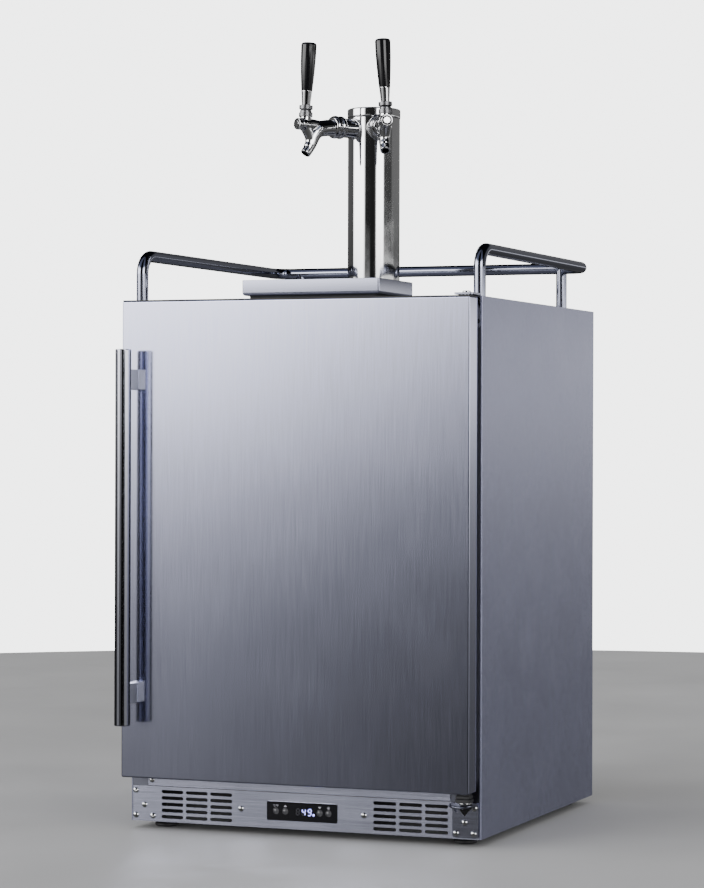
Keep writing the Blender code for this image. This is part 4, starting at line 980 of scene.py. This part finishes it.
def side_sheet(tag, side):
    """Flat side sheet whose front edge is folded round into a hem."""
    node = "side_panel_" + tag
    lo, hi = ends(node)
    outer = hi.x if side > 0 else -lo.x
    bend, fold = 2.4, 3.0
    turns = [math.pi / 2.0 * k / 8.0 for k in range(9)]
    section = [(outer - bend * (1.0 - math.cos(t)), lo.y + bend * (1.0 - math.sin(t))) for t in turns]
    section += [(outer - fold + 0.2, lo.y), (outer - fold, lo.y + 0.5), (outer - fold, 10.0),
        (outer - 1.0, 10.4), (outer - 1.0, hi.y - 0.3), (outer - 0.7, hi.y), (outer - 0.3, hi.y),
        (outer, hi.y - 0.3)]
    extruded("side_sheet_" + tag, [(side * x, y) for x, y in section], "z", lo.z, hi.z, "cabinet",
        PANEL_GREY, replaces=node, smooth=30.0)


def rear():
    keep("rear_panel", GALVANISED, 0.2)
    lo, hi = ends("rear_panel")
    spots = [(x, z) for x in (lo.x + 12.0, 0.0, hi.x - 12.0) for z in (lo.z + 12.0, hi.z - 12.0)]
    spots += [(x, (lo.z + hi.z) / 2.0) for x in (lo.x + 12.0, hi.x - 12.0)]
    for i, (x, z) in enumerate(spots):
        screw("rear_screw_%d" % (i + 1), x, hi.y, z, "cabinet", 4.0, 1.6, 23.0 * i, back=True)
    keep("power_inlet", BLACK_PLASTIC, 0.8)
    a, b = ends("power_inlet")
    for i, (dx, dz) in enumerate(((-6.0, -2.5), (0.0, 3.5), (6.0, -2.5))):
        x, z = (a.x + b.x) / 2.0 + dx, (a.z + b.z) / 2.0 + dz
        block("inlet_blade_%d" % (i + 1), (x - 1.0, b.y - 9.0, z - 2.2), (x + 1.0, b.y - 1.5, z + 2.2),
            "cabinet", BRASS, 0.4, 2)


def fan(node, blades=5):
    """Axial fan: a hub with twisted blades. Its node and its body share a name."""
    name, body = node + "_wheel", node
    lo, hi = ends(node)
    centre = (lo + hi) / 2.0
    radius = (hi.x - lo.x) / 2.0 * 0.97
    half = (hi.y - lo.y) / 2.0 * 0.8
    at = Matrix.Translation(centre) @ Matrix.Rotation(-math.pi / 2.0, 4, "X")
    hub = radius * 0.3
    bm = bmesh.new()
    add_turned(bm, soften([(0, -half), (hub, -half), (hub, half), (hub * 0.7, half),
        (hub * 0.6, half - 2.0), (0, half - 2.0)], 1.4, 3), at, 40)
    for i in range(blades):
        spin = at @ Matrix.Rotation(2.0 * math.pi * i / blades, 4, "Z")
        rings = []
        for k in range(7):
            share = k / 6.0
            out = hub * 0.9 + (radius - hub * 0.9) * share
            pitch = math.radians(48.0 - 22.0 * share)
            chord = radius * (0.20 + 0.12 * math.sin(math.pi * min(1.0, share * 1.1)))
            sweep = radius * 0.10 * share
            ring = []
            for s, t in ((-1.0, 0.0), (-0.5, 0.7), (0.2, 0.8), (1.0, 0.0), (0.2, -0.1), (-0.5, -0.1)):
                along, lift = s * chord, t * 1.3
                ring.append(spin @ Vector((out, sweep + along * math.cos(pitch) - lift * math.sin(pitch),
                    along * math.sin(pitch) * 0.8 + lift * math.cos(pitch))))
            rings.append(ring)
        add_loft(bm, rings)
    piece(name, bm, body, BLACK_PLASTIC, node, smooth=40.0)


def guard(name, centre, radii, finish, spokes=4, wire=1.0):
    """Round wire guard that faces the front."""
    bm = bmesh.new()
    for radius in radii:
        ring = []
        for i in range(48):
            turn = 2.0 * math.pi * i / 48.0
            ring.append((centre[0] + radius * math.cos(turn), centre[1], centre[2] + radius * math.sin(turn)))
        add_sweep(bm, ring, wire, 8, closed=True)
    for i in range(spokes):
        turn = math.pi / 4.0 + 2.0 * math.pi * i / spokes
        spoke = [(centre[0] + r * math.cos(turn), centre[1], centre[2] + r * math.sin(turn))
            for r in (radii[0] - 0.5, radii[-1] + 3.0)]
        add_sweep(bm, spoke, wire, 8)
    piece(name, bm, "cabinet", finish)


def machine_bay():
    x, y = COMPRESSOR
    at = upright(x, y)
    shell = [(0, 25.0), (38.0, 25.0), (51.0, 30.0), (56.0, 44.0), (56.0, 95.0), (57.4, 96.5), (57.4, 101.5),
        (55.6, 103.0), (54.6, 148.0), (47.0, 170.0), (28.0, 182.0), (0, 186.0)]
    turned("compressor_shell", soften(shell, 9.0, 6), "cabinet", DARK_METAL, at, 96, replaces="compressor")
    plate = round_rect(x - 84.0, x + 84.0, y - 30.0, y + 30.0, 6.0, 1)
    edge_bevel(extruded("compressor_plate", plate, "z", 20.4, 23.0, "cabinet", DARK_METAL), 0.5)
    for i, (sx, sy) in enumerate(((-1, -1), (1, -1), (-1, 1), (1, 1))):
        spot = upright(x + sx * 72.0, y + sy * 19.0)
        turned("compressor_grommet_%d" % (i + 1),
            soften([(0, 16.4), (8.0, 16.4), (9.0, 18.0), (6.0, 20.2), (6.0, 23.4), (9.0, 24.6), (8.0, 27.0),
            (0, 27.0)], 0.8, 3), "cabinet", RUBBER, spot, 28)
        turned("compressor_bolt_%d" % (i + 1),
            soften([(0, 27.0), (5.2, 27.0), (5.2, 30.6), (3.0, 30.6), (3.0, 32.6), (0, 32.6)], 0.4, 2),
            "cabinet", CHROME, spot, 6)
    block("compressor_terminals", (x - 68.0, y - 17.0, 74.0), (x - 50.0, y + 17.0, 116.0), "cabinet",
        BLACK_PLASTIC, 2.6, 4)
    lines = (("discharge", [(x - 30.0, y + 30.0, 150.0), (x - 30.0, y + 30.0, 205.0),
        (x - 150.0, y + 30.0, 205.0), (x - 252.0 + 30.0, y + 30.0, 205.0),
        (x - 252.0 + 30.0, y + 30.0, 190.0)], 3.2),
        ("suction", [(x + 26.0, y - 26.0, 160.0), (x + 26.0, y - 26.0, 232.0), (x - 20.0, y - 26.0, 232.0),
        (x - 20.0, y - 26.0, 284.0)], 4.6),
        ("process", [(x + 8.0, y + 40.0, 150.0), (x + 8.0, y + 40.0, 196.0), (x + 34.0, y + 40.0, 196.0)],
        3.0))
    for name, corners, radius in lines:
        tube(name + "_line", rounded_path(corners, 7.0, 8), radius, "cabinet", COPPER, 16)
    coil()
    fan("condenser_fan")
    keep("fan_shroud", BLACK_PLASTIC, 0.6)
    front = low("condenser").y - 48.0
    centre = middle("condenser_fan")
    guard("shroud_guard", (centre.x, front - 1.4, centre.z), (20.0, 29.0, 38.0, 47.0, 56.0), DARK_METAL)


def coil():
    """Finned coil with end plates and a tube that runs back and forth through it."""
    lo, hi = ends("condenser")
    bm = bmesh.new()
    count = 58
    for i in range(count):
        x = lo.x + 8.0 + (hi.x - lo.x - 16.0) * i / (count - 1.0)
        add_block(bm, (x - 0.15, lo.y + 1.0, lo.z + 2.0), (x + 0.15, hi.y - 1.0, hi.z - 2.0))
    piece("condenser_fins", bm, "cabinet", FINS, "condenser")
    bm = bmesh.new()
    for x in (lo.x + 6.0, hi.x - 6.0):
        add_block(bm, (x - 0.6, lo.y, lo.z), (x + 0.6, hi.y, hi.z), 0.4, 2)
    piece("condenser_end_plates", bm, "cabinet", GALVANISED)
    for column, y in enumerate((lo.y + 10.0, hi.y - 10.0)):
        corners = []
        for row in range(7):
            z = lo.z + 16.0 + row * 24.0
            sides = (lo.x + 4.8, hi.x - 4.8)
            corners += [(x, y, z) for x in (sides if row % 2 else sides[::-1])]
        tube("condenser_tube_%d" % (column + 1), rounded_path(corners, 4.0, 5), 3.8, "cabinet", COPPER, 16)


def cooler():
    keep("evaporator_cover", LINER, 0.8)
    lo, hi = ends("evaporator_cover")
    fan("evaporator_fan")
    centre = middle("evaporator_fan")
    guard("cooler_guard", (centre.x, lo.y - 1.2, centre.z), (10.0, 18.5, 27.0, 35.5, 44.0, 52.0), LINER, 6)
    turned("cooler_guard_boss", soften([(0, -1.0), (10.0, -1.0), (9.0, 2.6), (0, 3.2)], 0.8, 3), "cabinet",
        LINER, facing(centre.x, lo.y, centre.z), 40)
    spots = [(x, z) for x in (lo.x + 14.0, hi.x - 14.0) for z in (lo.z + 14.0, hi.z - 14.0)]
    for i, (x, z) in enumerate(spots):
        screw("cooler_screw_%d" % (i + 1), x, lo.y, z, "cabinet", 4.0, 1.8, 19.0 * i)
    bm = bmesh.new()
    for row in range(6):
        z = lo.z + 30.0 + row * 16.0
        rings = []
        for x in (lo.x + 46.0, hi.x - 46.0):
            rings.append([(x, lo.y + 0.2, z + 6.2), (x, lo.y - 2.6, z + 3.4), (x, lo.y - 2.2, z + 2.6),
                (x, lo.y + 0.8, z + 5.4)])
        add_loft(bm, rings)
    piece("cooler_louvres", bm, "cabinet", LINER)


def fluted(matrix, radius, depth, flutes, level, steps=96):
    """One ring of a knob with rounded flutes."""
    ring = []
    for i in range(steps):
        turn = 2.0 * math.pi * i / steps
        reach = radius + depth * math.cos(turn * flutes)
        ring.append(matrix @ Vector((reach * math.cos(turn), reach * math.sin(turn), level)))
    return ring


def gas():
    lo, hi = ends("co2_cylinder")
    x, y, r = (lo.x + hi.x) / 2.0, (lo.y + hi.y) / 2.0, (hi.x - lo.x) / 2.0
    at = upright(x, y)
    z = lo.z
    shell = [(0, z + 6.0), (30.0, z + 6.0), (46.0, z + 0.4), (54.0, z + 0.4), (r - 2.0, z + 10.0),
        (r, z + 24.0), (r, z + 288.0), (r - 4.0, z + 316.0), (48.0, z + 338.0), (24.0, z + 350.0),
        (16.0, z + 353.0), (16.0, z + 361.0), (0, z + 361.0)]
    turned("gas_cylinder", soften(shell, 12.0, 6), "cabinet", CYLINDER, at, 112, replaces="co2_cylinder")
    valve = [(0, z + 361.2), (14.0, z + 361.2), (14.0, z + 366.0), (12.2, z + 368.0), (12.2, z + 391.0),
        (9.0, z + 396.4), (4.2, z + 396.6), (4.2, z + 402.6), (0, z + 402.6)]
    turned("cylinder_valve", soften(valve, 0.8, 3), "cabinet", BRASS, at, 48)
    wheel_lo, wheel_hi = ends("co2_valve_knob")
    rings = []
    for inset, level in ((3.2, wheel_lo.z), (0.6, wheel_lo.z + 2.0), (0.0, wheel_lo.z + 5.0),
            (0.0, wheel_hi.z - 4.0), (1.0, wheel_hi.z - 1.6), (4.0, wheel_hi.z)):
        rings.append(fluted(at, 17.0 - inset, 0.9, 8, level))
    lofted("gas_wheel", rings, "gas_valve_knob", BLACK_PLASTIC, replaces="co2_valve_knob", smooth=40.0)
    regulator(x, y)


def regulator(x, y):
    level = (low("regulator_knob").z + high("regulator_knob").z) / 2.0
    left = Matrix.Translation((x, y, level)) @ Matrix.Rotation(-math.pi / 2.0, 4, "Y")
    hexagon = [(0, 12.9), (11.0, 12.9), (11.6, 14.0), (11.6, 24.0), (11.0, 25.0), (0, 25.0)]
    turned("regulator_nut", hexagon, "cabinet", BRASS, left, 6)
    body = [(0, 25.0), (8.0, 25.0), (8.0, 34.0), (20.0, 37.0), (21.8, 42.0), (21.8, 50.0), (20.4, 51.0),
        (20.4, 53.0), (21.8, 54.0), (21.8, 62.0), (17.0, 70.0), (10.0, 74.0), (3.0, 74.0), (3.0, 78.0),
        (0, 78.0)]
    turned("regulator_bell", soften(body, 1.6, 4), "cabinet", BRASS, left, 72, replaces="regulator_body")
    front = Matrix.Translation((x - 50.0, y, level)) @ Matrix.Rotation(math.pi / 2.0, 4, "X")
    turned("gauge_stem", soften([(0, 10.4), (5.0, 10.4), (5.0, 30.0), (0, 30.0)], 0.4, 2), "cabinet", BRASS,
        front, 24)
    case = [(0, 29.6), (19.0, 29.6), (20.8, 31.6), (20.8, 42.6), (19.8, 43.8), (18.2, 43.8), (17.8, 42.6),
        (17.8, 41.0), (0, 41.0)]
    turned("gauge_case", soften(case, 0.7, 3), "cabinet", CHROME, front, 72)
    turned("gauge_dial", [(0, 40.6), (17.7, 40.6), (17.7, 41.4), (0, 41.4)], "cabinet", GAUGE_FACE, front, 64)
    bm = bmesh.new()
    for i in range(25):
        turn = math.radians(225.0 - 11.25 * i)
        inner = 12.6 if i % 4 == 0 else 14.2
        spoke = front @ Matrix.Rotation(turn, 4, "Z")
        width = 0.45 if i % 4 == 0 else 0.25
        add_loft(bm, [[spoke @ Vector(p) for p in ((inner, -width, level_z), (16.2, -width, level_z),
            (16.2, width, level_z), (inner, width, level_z))] for level_z in (41.3, 41.6)])
    needle = front @ Matrix.Rotation(math.radians(118.0), 4, "Z")
    add_loft(bm, [[needle @ Vector(p) for p in ((-4.0, -0.9, h), (13.4, -0.2, h), (13.4, 0.2, h),
        (-4.0, 0.9, h))] for h in (41.9, 42.3)])
    add_turned(bm, [(0, 41.4), (1.8, 41.4), (1.8, 42.6), (0, 42.6)], front, 20)
    piece("gauge_marks", bm, "cabinet", BLACK_PLASTIC)
    knob = ((0.8, 75.0), (0.0, 76.2), (0.0, 92.0), (0.8, 93.8), (2.6, 95.0))
    lofted("pressure_knob", [fluted(left, 11.5 - inset, 0.45, 16, along) for inset, along in knob],
        "regulator_knob", BLACK_PLASTIC, replaces="regulator_knob", smooth=40.0)


def feet():
    for i in range(1, 5):
        node = "levelling_foot_%d" % i
        at = middle(node)
        profile = [(0, 0), (17.0, 0), (19.0, 1.6), (19.0, 4.6), (13.0, 9.6), (8.0, 10.0), (5.0, 10.4),
            (5.0, 44.0), (0, 44.0)]
        turned("foot_" + str(i), soften(profile, 0.8, 3), node, BLACK_PLASTIC, upright(at.x, at.y), 48,
            replaces=node)


# ---- studio -------------------------------------------------------------------------------------
def studio():
    bm = bmesh.new()
    bmesh.ops.create_circle(bm, cap_ends=True, segments=160, radius=3.55)
    mesh = bpy.data.meshes.new("floor")
    bm.to_mesh(mesh)
    bm.free()
    floor = bpy.data.objects.new("floor", mesh)
    floor.location.z = -0.0005
    bpy.context.scene.collection.objects.link(floor)
    finish = shader("floor", (0.46, 0.46, 0.465), 0.55)
    rough(finish, spread(finish, noise(finish, 3.0), 0.45, 0.62))
    tint(finish, spread(finish, noise(finish, 1.6), 0.0, 1.0), (0.44, 0.44, 0.445), (0.48, 0.48, 0.485))
    mesh.materials.append(finish)
    floor.visible_glossy = False
    world = bpy.data.worlds.new("studio")
    bpy.context.scene.world = world
    world.use_nodes = True
    nodes, links = world.node_tree.nodes, world.node_tree.links
    nodes.clear()
    coords = nodes.new("ShaderNodeTexCoord")
    split = nodes.new("ShaderNodeSeparateXYZ")
    links.new(coords.outputs["Generated"], split.inputs[0])

    def maths(operation, a, b=None):
        node = nodes.new("ShaderNodeMath")
        node.operation = operation
        for socket, value in zip(node.inputs, (a, b)):
            if isinstance(value, (int, float)):
                socket.default_value = value
            elif value is not None:
                links.new(value, socket)
        return node.outputs[0]

    def remap(value, lo, hi):
        node = nodes.new("ShaderNodeMapRange")
        node.inputs["From Min"].default_value = lo
        node.inputs["From Max"].default_value = hi
        links.new(value, node.inputs["Value"])
        return node.outputs["Result"]

    def ramp(source, stops):
        node = nodes.new("ShaderNodeValToRGB")
        elements = node.color_ramp.elements
        while len(elements) > 1:
            elements.remove(elements[-1])
        for i, (position, value) in enumerate(stops):
            element = elements[0] if i == 0 else elements.new(position)
            element.position = position
            element.color = (*value, 1.0) if isinstance(value, tuple) else (value, value, value, 1.0)
        links.new(source, node.inputs["Fac"])
        return node.outputs["Color"]

    def mix(factor, a, b, blend="MIX"):
        node = nodes.new("ShaderNodeMix")
        node.data_type = "RGBA"
        node.blend_type = blend
        if isinstance(factor, (int, float)):
            node.inputs["Factor"].default_value = factor
        else:
            links.new(factor, node.inputs["Factor"])
        links.new(a, node.inputs["A"])
        links.new(b, node.inputs["B"])
        return node.outputs["Result"]

    turn = maths("ARCTAN2", split.outputs["X"], maths("MULTIPLY", split.outputs["Y"], -1.0))
    around = remap(turn, -math.pi, math.pi)
    rise = maths("ARCSINE", split.outputs["Z"])
    up = remap(rise, -math.pi / 2.0, math.pi / 2.0)

    def sides(stops):
        return ramp(around, [((a + 180.0) / 360.0, v) for a, v in stops])

    high_band = sides(((-180, 0.03), (-120, 0.02), (-80, 0.015), (-75, 0.8), (-70, 1.0), (-24, 1.0),
        (-20, 0.45), (-16, 0.004), (26, 0.003), (29, 0.03), (32, 0.05), (34.5, 1.0), (63, 1.0), (68, 0.010),
        (104, 0.010), (112, 0.028), (170, 0.030), (180, 0.03)))
    low_band = sides(((-180, 0.06), (-110, 0.05), (-60, 0.10), (-52, 0.9), (-40, 1.0), (-28, 1.0),
        (-26, 0.88), (-24, 0.54), (-22.5, 0.38), (-21, 0.27), (-17, 0.22), (3, 0.2), (8, 0.004),
        (52, 0.004), (60, 0.9), (118, 1.0), (126, 0.3), (140, 0.34), (150, 0.44), (170, 0.44), (176, 0.2),
        (180, 0.06)))
    bands = mix(remap(rise, math.radians(2.8), math.radians(3.5)), low_band, high_band)
    floor_band = sides(((-180, 0.20), (-90, 0.24), (-40, 0.34), (0, 0.26), (45, 0.30), (110, 0.22),
        (180, 0.20)))
    bands = mix(remap(rise, math.radians(-14.0), math.radians(-10.0)), floor_band, bands)
    climb = ramp(up, [((z + 90.0) / 180.0, v) for z, v in ((-90, 0.03), (-30, 0.05), (-14, 0.07),
        (-9, 0.030), (-6.5, 0.036), (-5.0, 0.044), (-3.6, 0.062), (-2.4, 0.088), (-1.5, 0.118),
        (-0.7, 0.168), (0.1, 0.268), (0.9, 0.42), (1.6, 0.53), (2.4, 0.56), (3.2, 0.50), (4.8, 0.95),
        (8, 1.0), (22, 1.0), (32, (0.045, 0.05, 0.065)), (60, (0.03, 0.032, 0.042)),
        (90, (0.03, 0.032, 0.04)))])
    glow = mix(1.0, bands, climb, "MULTIPLY")
    path = nodes.new("ShaderNodeLightPath")

    def backdrop(strength, colour=None, rgb=(1, 1, 1)):
        node = nodes.new("ShaderNodeBackground")
        node.inputs["Strength"].default_value = strength
        node.inputs["Color"].default_value = (*rgb, 1.0)
        if colour is not None:
            links.new(colour, node.inputs["Color"])
        return node.outputs[0]

    def pick(factor, a, b):
        node = nodes.new("ShaderNodeMixShader")
        links.new(factor, node.inputs[0])
        links.new(a, node.inputs[1])
        links.new(b, node.inputs[2])
        return node.outputs[0]

    surface = pick(path.outputs["Is Diffuse Ray"], backdrop(6.0, glow), backdrop(0.75))
    surface = pick(path.outputs["Is Camera Ray"], surface, backdrop(4.2, None, (0.99, 1.0, 1.0)))
    out = nodes.new("ShaderNodeOutputWorld")
    links.new(surface, out.inputs["Surface"])


def lamp(name, location, target, size, power):
    data = bpy.data.lights.new(name, "AREA")
    data.shape = "RECTANGLE"
    data.size, data.size_y = size
    data.energy = power
    obj = bpy.data.objects.new(name, data)
    bpy.context.scene.collection.objects.link(obj)
    obj.location = location
    obj.rotation_euler = (Vector(target) - Vector(location)).to_track_quat("-Z", "Y").to_euler()
    obj.visible_camera = False
    obj.visible_glossy = False


def camera():
    data = bpy.data.cameras.new("camera")
    data.sensor_width = 36.0
    data.lens = 109.1
    data.shift_x, data.shift_y = -0.14, -0.0091
    data.clip_end = 60.0
    obj = bpy.data.objects.new("camera", data)
    bpy.context.scene.collection.objects.link(obj)
    obj.location = place((1719.0, -3875.0, 632.0))
    obj.rotation_euler = (math.radians(90.0), math.radians(-0.17), math.radians(20.24))
    bpy.context.scene.camera = obj


camera()
studio()
lamp("top_light", (-0.6, -1.2, 3.0), (0, 0, 0.6), (2.2, 2.2), 26.0)
door()
upper_bracket()
lower_bracket()
kick_plate()
control_panel()
rail()
tray()
tower()
casting = tap_casting()
tap("left", -1, casting)
tap("right", 1, casting)
bpy.data.objects.remove(casting, do_unlink=True)
rest_of_cabinet()
feet()
flatten_shading()
